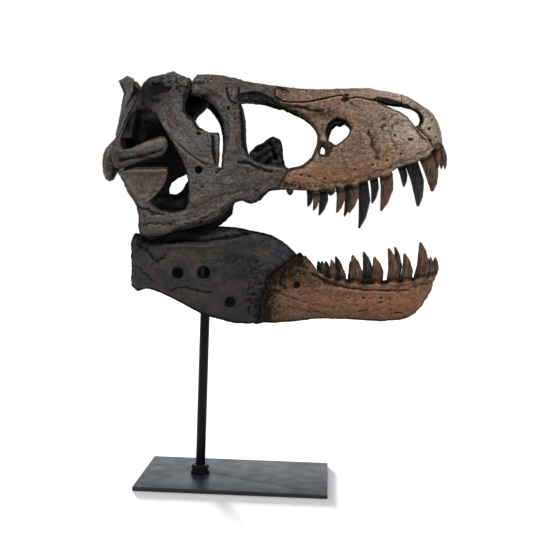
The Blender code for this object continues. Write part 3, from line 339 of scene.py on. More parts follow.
def distance_to_line(x, z, line):
    """Distance from each point to a run of straight pieces."""
    best = np.full(len(x), 1e9)
    for (x0, z0), (x1, z1) in zip(line, line[1:]):
        along_x, along_z = x1 - x0, z1 - z0
        t = np.clip(((x - x0) * along_x + (z - z0) * along_z) / (along_x ** 2 + along_z ** 2), 0, 1)
        best = np.minimum(best, np.hypot(x - x0 - t * along_x, z - z0 - t * along_z))
    return best


def inside_line(x, z, outline):
    """Whether each point lies inside a closed outline."""
    result = np.zeros(len(x), bool)
    for (x0, z0), (x1, z1) in zip(outline, outline[1:] + outline[:1]):
        if z0 == z1:
            continue
        crossing = (z0 > z) != (z1 > z)
        result ^= crossing & (x < x0 + (z - z0) * (x1 - x0) / (z1 - z0))
    return result


def along(x, stations):
    """Values at x between stations of (x, value)."""
    xs, values = zip(*stations)
    return np.interp(x, xs, values)


def unslipped(x, y):
    """x as it was before the left side was slipped along the skull."""
    snout = along(x, SNOUT_SLIP) * step(y, 0, SLIP_BLEND)
    cheek = along(x, CHEEK_SLIP) * step(y, CHEEK_SLIP_Y, CHEEK_SLIP_Y + SLIP_BLEND)
    return x - snout - cheek


class Surface:
    """The face of one bone while it is carved, with maps from 0 to 1 for its finish, painted shade and
    highlight among them.
    """

    def __init__(self, piece, side, kind):
        self.mesh = piece.data
        self.points = read_points(self.mesh)
        self.normals = read_normals(self.mesh)
        self.edges = read_edges(self.mesh)
        self.side = side
        x, y, z = self.points.T
        if kind not in ("surangular", "dentary"):
            x = unslipped(x, y)
            z = z - (y - ROLL_AXIS_Y) * math.tan(SKULL_ROLL)
        self.x, self.y, self.z = x, y, z
        self.ragged_x = cloud(self.points, RAGGED_SIZE, 3)
        self.ragged_z = cloud(self.points, RAGGED_SIZE, 3, NOISE_AT["ragged"])
        self.outer = step(self.normals[:, 1] * (side if side else np.sign(y)), *OUTWARD)
        self.exposed = self.find_exposed(kind)
        # Maps: height; dark paint wash with painted shade in hollows, holes and inner faces; rust stain;
        # random tone with painted highlight where light falls
        self.height, self.wash, self.stain, self.tone = np.zeros((4, len(x)))
        self.tooth = tooth_share(self.points, kind)
        self.tooth_foot = tooth_share(self.points, kind, TOOTH_FOOT)

    def find_exposed(self, kind):
        """1 where the surface faces out of the skull, 0 where it faces its inside."""
        x, y, z = self.x, self.y, self.z
        nx, ny, nz = self.normals.T
        roof = step(nz, *FACING) * step(z, *ROOF_Z)
        rear = step(-nx, *FACING) * step(-x, *REAR_BEHIND)
        front = step(nx, *FACING) * step(x, *FRONT_X)
        if kind == "nasals":
            above_core = z - NASAL_CORE_Z
            return step((ny * y + nz * above_core) / np.hypot(y, above_core), 0.0, 0.3)
        if kind == "braincase":
            crest_end = self.outer * step(-x, *CREST_END_BEHIND) * step(np.abs(y), *CREST_END_ASIDE)
            return np.max([roof, rear, crest_end], axis=0)
        if kind in INNER_BONES:
            return INNER_SHARE * self.outer
        if not self.side:
            return np.zeros(len(x))
        return np.max([self.outer, roof, rear, front], axis=0)

    def roughened(self, ragged):
        """x and z with noise in them, so that what follows them is as ragged as a break in bone."""
        return self.x + ragged * self.ragged_x, self.z + ragged * self.ragged_z

    def reach(self, centre, radii, ragged=0.0):
        """How far each point lies from the middle of an oval: 0 in its middle and 1 on its edge."""
        x, z = self.roughened(ragged)
        return np.hypot((x - centre[0]) / radii[0], (z - centre[1]) / radii[1])

    def band(self, line, width, ragged):
        """1 along a line, fading to 0 beside it, on the outer face."""
        gap = distance_to_line(*self.roughened(ragged), line)
        return np.exp(-(gap / (width / 2)) ** 2) * self.outer

    def add_wash_and_shade(self, share):
        """Puts dark wash and painted shade where they are thinner than a share."""
        self.wash = np.maximum(self.wash, share)

    def groove(self, line, width, depth, ragged=1.2, dark=0.9):
        """A crack or groove along a line, darkened with wash and painted shade."""
        share = self.band(line, width, ragged)
        self.height -= depth * share
        self.add_wash_and_shade(dark * share)

    def ridge(self, line, width, height, ragged=1.2):
        """A raised line."""
        self.height += height * self.band(line, width, ragged)

    def rim(self, centre, radius, height):
        """A raised lip round a hole that goes through, with painted shade on the edge inside it."""
        gap = np.hypot(self.x - centre[0], self.z - centre[1]) - radius
        self.height += height * np.exp(-((gap - RIM_OUT) / RIM_SOFTNESS) ** 2) * self.outer
        self.add_wash_and_shade(1 - step(gap, 0.0, RIM_SHADE))

    def swell(self, centre, radii, height):
        """Lets every face round a place grow, the edges too, which closes or narrows a gap."""
        self.height += height * np.exp(-self.reach(centre, radii) ** 2)

    def knob(self, centre, radii, height):
        """A low lump on the outer face."""
        self.height += height * np.exp(-self.reach(centre, radii) ** 2) * self.outer

    def pit(self, centre, radii, depth, dark=1.0, lip=0.0):
        """A round or oval hole that doesn't go through, with a raised lip where it has one, darkened inside
        with wash and painted shade.
        """
        reach = self.reach(centre, radii)
        share = (1 - step(reach, *PIT_WALL)) * self.outer
        self.height -= depth * share
        self.height += lip * np.exp(-((reach - LIP_OUT) / LIP_SOFTNESS) ** 2) * self.outer
        self.add_wash_and_shade(dark * share)

    def hollow(self, outline, depth, wall, dark, ragged=1.0):
        """A sunk area with a steep wall round it, darkened with wash and painted shade."""
        x, z = self.roughened(ragged)
        side = np.where(inside_line(x, z, outline), 1, -1)
        inward = side * distance_to_line(x, z, outline + outline[:1])
        share = step(inward, -wall / 2, wall / 2) * self.outer
        self.height -= depth * share
        self.add_wash_and_shade(dark * share)

    def shade(self, outline, amount, ragged=0.5):
        """Painted shade inside an outline, without a change of shape."""
        self.add_wash_and_shade(amount * inside_line(*self.roughened(ragged), outline))

    def rugose(self, centre, radii, height, size=4.0):
        """Rough lumps with dark wash and painted shade in the gaps between them, round a centre."""
        share = np.exp(-self.reach(centre, radii) ** 4)
        lumps = cloud(self.points, size, 3, NOISE_AT["rugose"])
        self.height += RUGOSE_RISE * height * share * lumps
        self.add_wash_and_shade(RUGOSE_WASH_AND_SHADE * share * step(-lumps, *RUGOSE_GAPS))

    def cracks(self, size, width, depth, shift, amount):
        """Thin cracks that wander over the bone, where slow noise passes zero, in some patches only."""
        level = cloud(self.points, size, 3, NOISE_AT["cracks"] + shift)
        patches = cloud(self.points, CRACK_PATCH * size, 2, NOISE_AT["crack_patches"] + shift)
        patch = step(patches, *(start - amount for start in CRACK_PATCH_START))
        share = np.exp(-(level * size / width) ** 2) * patch * (1 - self.tooth)
        self.height -= depth * share
        self.add_wash_and_shade(CRACK_WASH_AND_SHADE * share)

    def tint(self, map_name, centre, radii, amount, ragged=6.0):
        """Adds to one of the maps round a centre."""
        share = np.exp(-self.reach(centre, radii, ragged) ** 2)
        setattr(self, map_name, getattr(self, map_name) + amount * share)

    def tints(self, map_name, *spots):
        """Adds to one of the maps at several spots, each a centre, two radii and an amount."""
        for centre, radii, amount in spots:
            self.tint(map_name, centre, radii, amount)

    def expose(self, centre, radii, amount, where=1.0):
        """Takes the painted shade of the inside off round a place that catches the light."""
        share = np.exp(-self.reach(centre, radii) ** 2)
        self.exposed = np.maximum(self.exposed, amount * share * where)


def add_object(name, data):
    """A new object in the scene."""
    made = bpy.data.objects.new(name, data)
    bpy.context.scene.collection.objects.link(made)
    return made


def fine_copy(nodes, name):
    """A new object with the shape of the nodes in small even faces, grown a little so that seams close."""
    joined = bmesh.new()
    for node in nodes:
        joined.from_mesh(node.data)
    bmesh.ops.remove_doubles(joined, verts=joined.verts, dist=WELD * MM)
    joined.normal_update()
    growth = SEAM_GROWTH if len(nodes) > 1 else SUTURE_GROWTH
    for vertex in joined.verts:
        vertex.co += vertex.normal * growth * MM
    area = sum(face.calc_area() for face in joined.faces) / MM ** 2
    voxel = max(VOXEL, math.sqrt(2 * area / MOST_TRIANGLES))
    shape = bpy.data.meshes.new(name)
    joined.to_mesh(shape)
    joined.free()
    piece = add_object(name, shape)
    remesh = piece.modifiers.new("fine", "REMESH")
    remesh.mode = "VOXEL"
    remesh.voxel_size = voxel * MM
    bpy.context.view_layer.update()
    mesh = bpy.data.meshes.new_from_object(piece.evaluated_get(bpy.context.evaluated_depsgraph_get()))
    piece.modifiers.clear()
    piece.data = mesh
    mesh.shade_smooth()
    return piece


def tooth_share(points, kind, fade=GUM_FADE):
    """1 on teeth and 0 on the bone that holds them, with a change over some millimetres between."""
    x, y, z = points.T
    if kind in ("maxilla", "premaxilla"):
        level = z - (y - ROLL_AXIS_Y) * math.tan(SKULL_ROLL)
        return step(along(unslipped(x, y), UPPER_MARGIN) - level, 0.0, fade) * (x > FIRST_UPPER_X)
    if kind == "dentary":
        return step(z - along(x, LOWER_MARGIN), 0.0, fade) * (x > FIRST_LOWER_X)
    return np.zeros(len(x))


def carve_sockets(bone, margin, teeth_x, rise):
    """Swellings over the tooth roots, painted shade in the gaps between them and a rough rim."""
    bone.ridge([(x, z + SOCKET_RISE * rise) for x, z in margin], width=3.5, height=0.8, ragged=2.0)
    bone.groove([(x, z + ROOT_RISE * rise) for x, z in margin], width=3.0, depth=0.5, ragged=2.5, dark=0.3)
    for x in teeth_x:
        z = float(along(x, margin))
        bone.knob((x, z + ROOT_RISE * rise), ROOT_RADII, height=0.9)
    for x, next_x in zip(teeth_x, teeth_x[1:]):
        middle = (x + next_x) / 2
        z = float(along(middle, margin))
        bone.tint("wash", (middle, z + SOCKET_RISE * rise), radii=(4, 2.5), amount=0.6, ragged=1.5)


def carve_premaxilla(bone):
    """The snout's tip: its pits, painted shade on the front of the nostril and a rough tooth margin."""
    for x, z, radius in ((228, 370, 2.4), (233, 380, 1.5), (236, 362, 1.4), (221, 379, 1.2), (239, 371, 1.1)):
        bone.pit((x, z), (radius, 0.8 * radius), 0.5 * radius)
    bone.groove(((211, 373), (218, 367), (227, 358)), 5.0, 2.2, 0.8, 1.0)
    bone.shade(NOSTRIL_FRONT, 1.0)
    bone.shade(NOSTRIL_SLOT, 1.0)
    bone.tint("wash", (215, 384), (5, 11), 0.6, 1.5)
    bone.rugose((238, 357), (8, 6), 0.9, 3.0)
    bone.tint("stain", (224, 352), (14, 7), 0.5)
    bone.tint("tone", (238, 368), (12, 14), 0.5)
    bone.tint("wash", (240, 353), (8, 4), 0.6, 2.0)


def carve_maxilla(bone):
    """The snout's flank: the openings' edges with painted shade in and beside them, folds, pits over the
    teeth, rust, and lighter and darker patches.
    """
    bone.shade(FENESTRA, 1.0)
    bone.groove(FENESTRA + FENESTRA[:1], 2.4, 1.0, 0.8, 0.9)
    bone.tint("wash", (118, 381), (13, 5), 0.8, 3.0)
    bone.groove(((110, 386), (118, 383), (127, 384)), 6.0, 1.2, 2.0, 0.5)
    bone.groove(ANTORBITAL_FRONT, 6.0, 2.4, 0.7, 1.0)
    bone.shade(((112, 356), (131, 352), (124, 338), (113, 338)), 0.85)
    bone.ridge(MAXILLA_NASAL, 7.0, 2.2, 0.3)
    bone.groove(MAXILLA_NASAL, 1.6, 0.7, 0.7, 0.9)
    bone.groove(((77, 390), (92, 388), (109, 385), (118, 386)), 3.0, 1.6, 0.8, 0.9)
    bone.pit((140, 397), (4.2, 2.6), 2.0, 1.0)
    bone.groove(((213, 371), (219, 365), (226, 358)), 4.0, 2.0, 0.6, 1.0)
    bone.shade(NOSTRIL_SLOT, 1.0)
    bone.groove(((143, 397), (150, 392), (154, 389)), 2.5, 0.6, 1.5, 0.5)
    # Upright folds in the flank, and the pits over the teeth
    bone.groove(((164, 364), (168, 358), (168, 351), (172, 345), (173, 338)), 4.5, 1.3, 1.6, 0.5)
    bone.ridge(((158, 362), (162, 350), (163, 340)), 6.0, 1.0, 2.0)
    bone.ridge(((174, 362), (177, 352), (180, 345)), 6.0, 0.9, 2.0)
    bone.groove(((186, 364), (190, 356), (192, 348)), 4.0, 0.8, 2.5, 0.35)
    bone.groove(((136, 346), (138, 336), (141, 328)), 4.0, 0.6, 2.0, 0.15)
    bone.pit((207, 358), (3.4, 1.8), 1.4, 0.8)
    for centre in (
        (96, 319), (104, 318), (191, 362), (150, 326), (168, 331), (183, 336), (120, 316), (197, 343),
    ):
        bone.pit(centre, (1.8, 1.3), 0.8, 0.8)
    bone.groove(((90, 320), (103, 319), (116, 313)), 2.0, 0.4, 1.5, 0.2)
    bone.rugose((184, 376), (22, 9), 0.6, 5.0)
    bone.rugose((86, 308), (16, 5), 0.9, 3.0)
    carve_sockets(bone, UPPER_MARGIN, UPPER_TEETH_X[bone.side], 1)
    bone.tints(
        "stain",
        ((112, 318), (36, 11), 1.0), ((164, 326), (40, 11), 0.9), ((205, 346), (26, 9), 0.7),
        ((184, 352), (9, 20), 0.45), ((150, 350), (14, 14), 0.3), ((128, 392), (30, 6), 0.3),
    )
    bone.tints(
        "tone",
        ((116, 320), (44, 10), -0.5), ((205, 364), (30, 12), 0.85),
        ((152, 386), (30, 9), 0.35), ((214, 352), (12, 8), 0.5),
    )
    bone.tints(
        "wash",
        ((98, 386), (20, 5), 0.45), ((78, 308), (12, 8), 0.6),
        ((176, 366), (8, 20), 0.25), ((144, 338), (8, 16), 0.2),
    )


def carve_nasals(bone):
    """The snout's roof, with the seam to the flank and painted shade on the nostril's upper edge."""
    bone.groove(MAXILLA_NASAL, 1.6, 0.7, 0.7, 0.9)
    bone.groove(((62, 410), (68, 406), (72, 407), (82, 404)), 3.0, 1.8, 1.2, 1.0)
    bone.shade(NOSTRIL_ROOF, 1.0)
    bone.groove(((174, 395), (186, 395), (200, 393)), 5.0, 1.5, 0.6, 1.0)
    bone.pit((142, 402), (3.0, 1.8), 1.2)
    bone.groove(((100, 405), (118, 406), (134, 405)), 2.0, 0.6, 2.0, 0.4)
    bone.rugose((120, 409), (40, 5), 0.6, 5.0)
    bone.tints("tone", ((168, 406), (30, 6), 0.9), ((110, 408), (40, 5), 0.3))
    bone.tint("stain", (126, 404), (24, 4), 0.5)
    bone.tint("wash", (74, 408), (8, 8), 0.7, 3.0)


def carve_lacrimal(bone):
    """The bar before the eye, its knob, and the hollow under the roof."""
    bone.knob((26, 396), (4.0, 6.5), 2.6)
    bone.groove(((20, 402), (21, 396), (24, 389), (30, 388)), 2.0, 1.2, 0.8)
    bone.groove(((32, 403), (32, 396), (35, 391)), 2.6, 1.8, 0.8, 1.0)
    bone.hollow(LACRIMAL_HOLLOW, 2.4, 1.8, 0.95)
    bone.groove(((34, 394), (36.5, 381), (38, 364), (39, 350), (43, 338)), 6.0, 2.6, 0.8, 1.0)
    bone.groove(ORBIT_FRONT, 4.5, 1.6, 0.8, 0.9)
    bone.ridge(((22, 388), (25, 370), (27, 352), (26, 336)), 8.0, 1.2, 1.0)
    bone.groove(((21, 376), (22, 360), (22, 346)), 2.5, 0.6, 1.5, 0.35)
    bone.pit((22, 382), (1.6, 2.2), 1.1)
    bone.pit((29, 372), (1.4, 1.4), 0.9)
    bone.groove(((-10, 404), (4, 399), (14, 394)), 3.5, 0.6, 2.0, 0.25)
    bone.rugose((-6, 410), (12, 6), 1.3)
    bone.rugose((62, 404), (8, 5), 1.0, 3.0)
    bone.tints("stain", ((50, 405), (24, 5), 0.9), ((29, 366), (7, 18), 0.6), ((8, 404), (14, 6), 0.4))
    bone.tint("tone", (52, 408), (22, 4), 0.5)
    bone.tint("wash", (0, 394), (14, 5), 0.7, 3.0)
    bone.tints("wash", ((26, 404), (40, 14), 0.3), ((27, 366), (10, 24), 0.15))


def carve_jugal(bone):
    """The cheek, with its round hole, long low ridges and a rough lower edge."""
    bone.rim((-5, 321), 3.0, 0.9)
    bone.ridge(JUGAL_POSTORBITAL, 9.0, 3.2, 0.3)
    bone.groove(JUGAL_POSTORBITAL[:4], 1.1, 0.5, 0.6, 0.8)
    bone.groove(((-2, 327.5), (4, 323.5), (8, 324.5), (13, 322)), 1.4, 0.8, 0.8, 0.8)
    bone.pit((-1, 305), (2.0, 1.4), 0.6, 0.6)
    bone.groove(((16, 330), (17, 324), (12, 319)), 3.0, 1.2, 0.8, 0.9)
    bone.groove(((20, 332), (30, 326), (44, 322), (58, 322)), 5.0, 0.8, 1.5, 0.25)
    bone.groove(((34, 330), (44, 330), (54, 325), (66, 322)), 4.0, 2.0, 1.2, 1.0)
    bone.groove(((30, 300), (44, 304), (58, 310), (70, 318)), 4.0, 0.6, 2.0, 0.2)
    bone.ridge(((-22, 269), (0, 276), (14, 285), (28, 296)), 4.0, 1.6, 2.0)
    bone.ridge(((-10, 292), (4, 298), (18, 305), (34, 312)), 9.0, 1.3, 1.5)
    bone.groove(((-8, 286), (6, 291), (20, 299)), 5.0, 0.7, 2.5, 0.2)
    bone.groove(((-18, 276), (-4, 282), (10, 290)), 3.0, 0.4, 2.5, 0.2)
    bone.groove(CHEEK_EDGE, 4.0, 1.0, 2.5, 0.8)
    bone.rugose((6, 272), (22, 7), 1.2, 3.5)
    bone.rugose((56, 300), (16, 8), 0.9)
    bone.tints("tone", ((14, 318), (22, 10), 0.6), ((-20, 300), (8, 14), 0.4))
    bone.tints("stain", ((0, 288), (22, 12), 0.7), ((60, 312), (18, 6), 0.5))
    bone.tints("wash", ((58, 298), (14, 8), 0.5), ((26, 318), (10, 4), 0.3))


def carve_postorbital(bone):
    """The broad bar behind the eye, with its hooked lip and rough boss."""
    bone.ridge(JUGAL_POSTORBITAL, 9.0, 3.2, 0.3)
    bone.groove(JUGAL_POSTORBITAL[:4], 1.1, 0.5, 0.6, 0.8)
    bone.pit((-6, 356), (2.6, 2.1), 1.7, 1.0, 0.5)
    # The hooked lip, with a deep groove before it
    bone.groove(((8, 354), (8.5, 347), (9, 340), (10.5, 333), (11.5, 328)), 4.2, 3.0, 0.4, 1.0)
    bone.ridge(((-1, 360), (4, 356), (5.5, 351), (5, 346)), 2.6, 1.6, 0.4)
    bone.ridge(((13, 355), (13, 345), (13, 335)), 1.6, 0.8, 0.3)
    bone.ridge(((-36, 392), (-24, 374), (-10, 356), (0, 340)), 12.0, 1.6, 1.2)
    for shift in (-9, -4, 2, 7):
        bone.groove(((-34 + shift, 384), (-24 + shift, 370), (-12 + shift, 354)), 1.8, 0.35, 2.5, 0.1)
    bone.hollow(SQUAMOSAL_HOLLOW, 2.8, 2.0, 1.0, 1.2)
    bone.rugose((-32, 404), (18, 9), 2.2)
    bone.rugose((-18, 394), (6, 10), 1.6, 3.5)
    bone.groove(((-15, 408), (-17, 398), (-21, 387), (-20, 377), (-12, 369), (-6, 361)), 4.0, 1.6, 1.0, 0.8)
    bone.tints("tone", ((-12, 352), (18, 14), 0.7), ((-34, 384), (10, 12), 0.4))
    bone.tint("stain", (-36, 372), (12, 12), 0.4)
    bone.tints("wash", ((-54, 396), (18, 16), 0.6), ((-28, 400), (18, 9), 0.45))


def carve_squamosal(bone):
    """The beam over the cheek, and the edge of the upper temporal opening."""
    bone.ridge(((-80, 337), (-64, 341), (-50, 346), (-40, 347)), 7.0, 1.6, 0.8)
    bone.groove(((-80, 329), (-64, 331.5), (-50, 335.5), (-40, 339)), 4.0, 1.6, 0.8, 0.85)
    bone.groove(((-84, 352), (-76, 369), (-68, 387)), 1.8, 1.2, 0.8, 1.0)
    bone.ridge(((-81, 351), (-74, 368), (-66, 384)), 2.6, 0.9, 0.8)
    bone.groove(((-62, 384), (-54, 388), (-46, 386)), 4.0, 0.9, 2.0, 0.4)
    bone.groove(((-70, 400), (-62, 396), (-56, 400)), 3.0, 0.8, 2.0, 0.5)
    bone.tint("tone", (-52, 345), (20, 6), 0.9)
    bone.tint("stain", (-52, 344), (18, 7), 0.8)
    bone.tints("wash", ((-60, 390), (18, 22), 0.55), ((-82, 334), (7, 16), 0.5))


def carve_quadratojugal(bone):
    """The plate at the cheek's rear, which is slightly sunk behind its rim."""
    bone.ridge(((-34, 318), (-37, 307), (-44, 298), (-53, 290)), 2.2, 1.5, 0.4)
    bone.ridge(((-80, 317.5), (-60, 318.5), (-36, 319.5)), 2.6, 1.0, 0.5)
    bone.hollow(CHEEK_HOLLOW, 1.2, 5.0, 0.1)
    bone.groove(((-60, 284), (-50, 280), (-36, 278)), 3.5, 1.0, 2.5, 0.6)
    bone.groove(((-58, 268), (-44, 270), (-30, 268)), 3.0, 0.9, 2.5, 0.5)
    bone.tints("tone", ((-56, 306), (18, 10), 0.7), ((-44, 266), (16, 6), 0.5))
    bone.tints("stain", ((-54, 302), (18, 12), 0.9), ((-44, 270), (16, 8), 0.5))
    bone.tint("wash", (-52, 284), (10, 4), 0.6)


def carve_braincase(bone):
    """The rear skull's lit parts: the crest's ends, and a column and ledges inside the temporal opening."""
    bone.tint("tone", (-80, 386), (10, 26), 1.5)
    for centre, radii in (((-66, 356), (4, 7)), ((-58, 375), (7, 3)), ((-34, 334), (12, 2.5))):
        bone.expose(centre, radii, 0.75, bone.y < 0)


def carve_pterygoid(bone):
    """The ledge that catches the light at the bottom of the lower temporal opening."""
    bone.ridge(((-32, 287), (-22, 294), (-12, 300)), 5.0, 1.5)
    bone.expose((-27, 288), (7, 5), 0.8)
    bone.tint("tone", (-27, 288), (8, 6), 0.8)
    bone.swell((-41, 290), (12, 5), 5.0)


def carve_palatine(bone):
    """Knobbly folds: each groove has a ridge below and before it."""
    for line, width in (
        (((46, 326), (56, 338), (70, 346)), 4.0),
        (((50, 342), (60, 350), (72, 352)), 3.5),
        (((56, 322), (64, 334), (76, 340)), 4.0),
        (((62, 356), (66, 346), (70, 336)), 3.0),
    ):
        bone.groove(line, 1.4 * width, 3.0, 1.0, 0.5)
        bone.ridge([(x + 5, z - 4) for x, z in line], 1.4 * width, 2.2, 1.0)
    # Lighter tone and painted highlight over the folds
    bone.tint("tone", (60, 342), (24, 22), 1.0)


def carve_surangular(bone):
    """The jaw's dark rear: three round holes, a shelf on top and the ragged seam in front."""
    bone.ridge(DENTARY_SURANGULAR, 9.0, 2.8, 0.3)
    bone.groove(DENTARY_SURANGULAR, 8.0, 0.5, 4.0, 0.8)
    bone.swell((56, 171), (3, 3), 1.4)
    bone.swell((-61, 255), (5, 5), 2.5)
    for centre, radius in (((-23, 220), 4.6), ((2, 221), 5.4), ((28, 192), 4.4)):
        bone.rim(centre, radius, 0.9)
    bone.groove(((-29, 203), (-16, 207), (-4, 203), (9, 201)), 1.8, 1.2, 1.2)
    bone.ridge(((-40, 245), (-16, 247), (2, 246), (20, 249), (40, 256)), 4.0, 1.6, 1.0)
    bone.groove(((-40, 251), (-16, 253), (4, 253), (24, 257), (44, 261)), 5.0, 1.8, 1.0, 0.9)
    bone.groove(((-60, 246), (-50, 238), (-44, 230), (-36, 236)), 4.0, 1.4, 2.5, 0.7)
    bone.groove(((-62, 226), (-54, 218), (-46, 212)), 3.0, 0.9, 2.5, 0.6)
    bone.groove(((16, 232), (34, 236), (52, 232)), 8.0, 1.0, 2.0, 0.2)
    bone.rugose((-52, 244), (12, 8), 1.3)
    bone.rugose((52, 206), (12, 32), 2.0)
    bone.tint("tone", (-8, 246), (30, 6), 1.1)
    bone.tints("stain", ((-14, 243), (28, 7), 1.0), ((-20, 196), (30, 8), 0.9))
    bone.tints("wash", ((38, 226), (22, 18), 0.4), ((50, 190), (12, 16), 0.4))


def carve_dentary(bone):
    """The jaw's front: a row of pits and a groove under the teeth, and the ragged seam behind."""
    for x, z, radius in (
        (147, 196, 1.4), (155, 198, 1.2), (163.5, 196.5, 1.8), (170.5, 196, 1.2), (182, 196.5, 1.8),
        (191.5, 195.5, 1.3), (137, 193, 1.1), (128, 198, 1.1), (200, 202, 1.1), (214, 196, 1.2),
    ):
        bone.pit((x, z), (radius, radius * 0.8), 0.9, 0.9)
    bone.groove(((110, 221), (128, 211), (150, 206), (170, 204), (211, 204.5)), 2.4, 1.1, 0.8, 0.8)
    for line, width in (
        (((178, 191.5), (184, 192)), 1.8), (((160, 183), (168, 183.5)), 2.0), (((198, 181), (204, 181)), 1.8),
    ):
        bone.groove(line, width, 0.8, 0.8)
    bone.ridge(DENTARY_SURANGULAR, 9.0, 2.8, 0.3)
    bone.groove(DENTARY_SURANGULAR, 9.0, 0.5, 4.5, 0.85)
    bone.swell((56, 171), (3, 3), 1.4)
    bone.groove(((84, 240), (76, 230), (70, 220), (64, 208), (66, 196), (61, 186)), 3.0, 1.6, 2.5, 0.8)
    bone.groove(((88, 232), (80, 222), (77, 210)), 2.5, 1.0, 2.5, 0.6)
    bone.groove(((86, 240), (94, 232), (104, 226)), 3.0, 1.2, 2.5, 0.8)
    bone.groove(((80, 216), (94, 222), (108, 222), (122, 214)), 3.0, 0.5, 2.5, 0.3)
    bone.groove(((70, 204), (90, 196), (112, 190), (134, 186)), 3.0, 0.5, 2.0, 0.3)
    bone.groove(((76, 188), (100, 184), (124, 180)), 2.0, 0.5, 2.5, 0.3)
    bone.rim((94, 209), 2.6, 0.8)
    carve_sockets(bone, LOWER_MARGIN, LOWER_TEETH_X, -1)
    bone.rugose((72, 214), (14, 30), 2.2)
    for line in (
        ((77, 234), (74, 224), (70, 216)),
        ((86, 230), (83, 220), (80, 211)),
        ((71, 208), (69, 198), (64, 188)),
    ):
        bone.ridge(line, 2.4, 1.3, 2.0)
    bone.tints("tone", ((76, 218), (9, 20), 0.6), ((158, 186), (50, 9), 0.6))
    bone.tints("stain", ((205, 190), (32, 18), 1.0), ((140, 192), (44, 12), 0.6))
    bone.tints(
        "wash",
        ((64, 210), (11, 40), 0.7), ((88, 236), (26, 16), 0.8), ((60, 176), (14, 12), 0.8),
        ((80, 222), (20, 20), 0.25), ((96, 214), (24, 10), 0.3),
    )
    bone.tint("wash", (160, 212), (70, 4), 0.4, 3.0)


CARVINGS = {
    "premaxilla": carve_premaxilla,
    "maxilla": carve_maxilla,
    "nasals": carve_nasals,
    "lacrimal": carve_lacrimal,
    "jugal": carve_jugal,
    "postorbital": carve_postorbital,
    "squamosal": carve_squamosal,
    "quadratojugal": carve_quadratojugal,
    "braincase": carve_braincase,
    "pterygoid": carve_pterygoid,
    "palatine": carve_palatine,
    "surangular": carve_surangular,
    "dentary": carve_dentary,
}


def round_off(bone):
    """Turns the flat face of a plate into a low dome, which falls off towards the plate's edges."""
    if bone.side:
        middle = blur(bone.outer, bone.edges, DOME_ROUNDS)
        fall = np.clip(1 - middle, 0, DOME_MOST) * bone.outer * (1 - bone.tooth)
        bone.height -= DOME * fall


def roughen(bone):
    """The grain, lumps, cracks and pores that every bone has all over, and its worn, ragged edges."""
    bare = 1 - bone.tooth
    lumps = cloud(bone.points, LUMP_SIZE, 3, NOISE_AT["lumps"])
    knots = cloud(bone.points, KNOT_SIZE, 3, NOISE_AT["knots"])
    grain = cloud(bone.points, GRAIN_SIZE, 3, NOISE_AT["grain"])
    pores = cloud(bone.points, PORE_SIZE, 2, NOISE_AT["pores"])
    edge = (1 - bone.outer) * bone.exposed if bone.side else np.zeros(len(bone.points))
    knot_height = KNOT_HEIGHT + EDGE_KNOT_HEIGHT * edge
    bone.height += bare * (LUMP_HEIGHT * lumps + knot_height * knots + GRAIN_HEIGHT * grain)
    bone.height -= bare * PORE_DEPTH * step(pores, 0.35, 0.7)
    bone.cracks(size=26.0, width=0.6, depth=0.4, shift=0.0, amount=0.1)
    bone.cracks(size=14.0, width=0.45, depth=0.3, shift=11.0, amount=-0.05)
    stains = cloud(bone.points, STAIN_SIZE, 3, NOISE_AT["stain"])
    bone.tone = bone.tone + 0.4 * lumps + 0.35 * knots + 0.2 * grain
    bone.stain = bone.stain * (0.8 + 0.7 * lumps) + 0.35 * step(stains, 0.1, 0.5)
    # Dark wash and painted shade in the pores
    bone.add_wash_and_shade(bare * 0.35 * step(pores, 0.45, 0.8))


def flute_teeth(bone):
    """Fine upright flutes in the teeth, with dark wash and painted shade in them, painted shade on the
    teeth's edges, and darker round their feet.
    """
    flutes = cloud(bone.points, FLUTE_SIZE, 2, NOISE_AT["flutes"])
    facing = np.abs(bone.normals[:, 1])
    bone.height += bone.tooth * FLUTE_HEIGHT * flutes
    bone.add_wash_and_shade(bone.tooth * 0.5 * step(flutes, 0.2, 0.5))
    # Painted shade on the teeth's edges, where they turn away from the sides
    bone.add_wash_and_shade(bone.tooth * 0.85 * (1 - step(facing, 0.15, 0.75)))
    half_way_up = 4 * bone.tooth_foot * (1 - bone.tooth_foot)
    bone.add_wash_and_shade(0.9 * half_way_up)


def sunk(bone, points, rounds):
    """How far each point lies below the mean of its surroundings: less than 0 on edges and lumps."""
    return ((blur(points, bone.edges, rounds) - points) * bone.normals).sum(axis=1)


def finish_maps(bone, points):
    """Works out where wash and painted shade gather and where edges are rubbed or painted with highlight, and
    stores every map on the mesh.
    """
    fine = sunk(bone, points, FINE_ROUNDS)
    broad = sunk(bone, points, BROAD_ROUNDS)
    # Dark wash in small hollows, and painted shade in broad ones
    hollow_wash_and_shade = step(fine, *FINE_HOLLOW) * 0.45 + step(broad, *BROAD_HOLLOW) * 0.5
    # Rubbed paint on edges and swells, which also stands as painted highlight
    rubbed = step(-fine, *FINE_EDGE) * 0.8 + step(-broad, *BROAD_EDGE) * 0.45
    bare = 1 - bone.tooth
    # Painted shade on faces that look into the skull
    inner_shade = INNER_SHADE * (1 - bone.exposed) * bare
    wash = np.clip(np.maximum(bone.wash + hollow_wash_and_shade * (0.4 + 0.6 * bare), inner_shade), 0, 1)
    maps = {
        "wash": blur(wash, bone.edges, 1),
        # Rubbed edges, with random tone and painted highlight on places that catch the light
        "rubbed": np.clip((rubbed + 0.6 * np.clip(bone.tone, -0.4, 1.2)) * (1 - 0.8 * inner_shade), 0, 1),
        "tip": step(unslipped(*points.T[:2]), *TIP_X) * bare,
        "stain": np.clip(bone.stain, 0, 1),
        "tooth": bone.tooth,
    }
    for name, values in maps.items():
        attribute = bone.mesh.attributes.new(name, "FLOAT", "POINT")
        attribute.data.foreach_set("value", values.astype(np.float32))


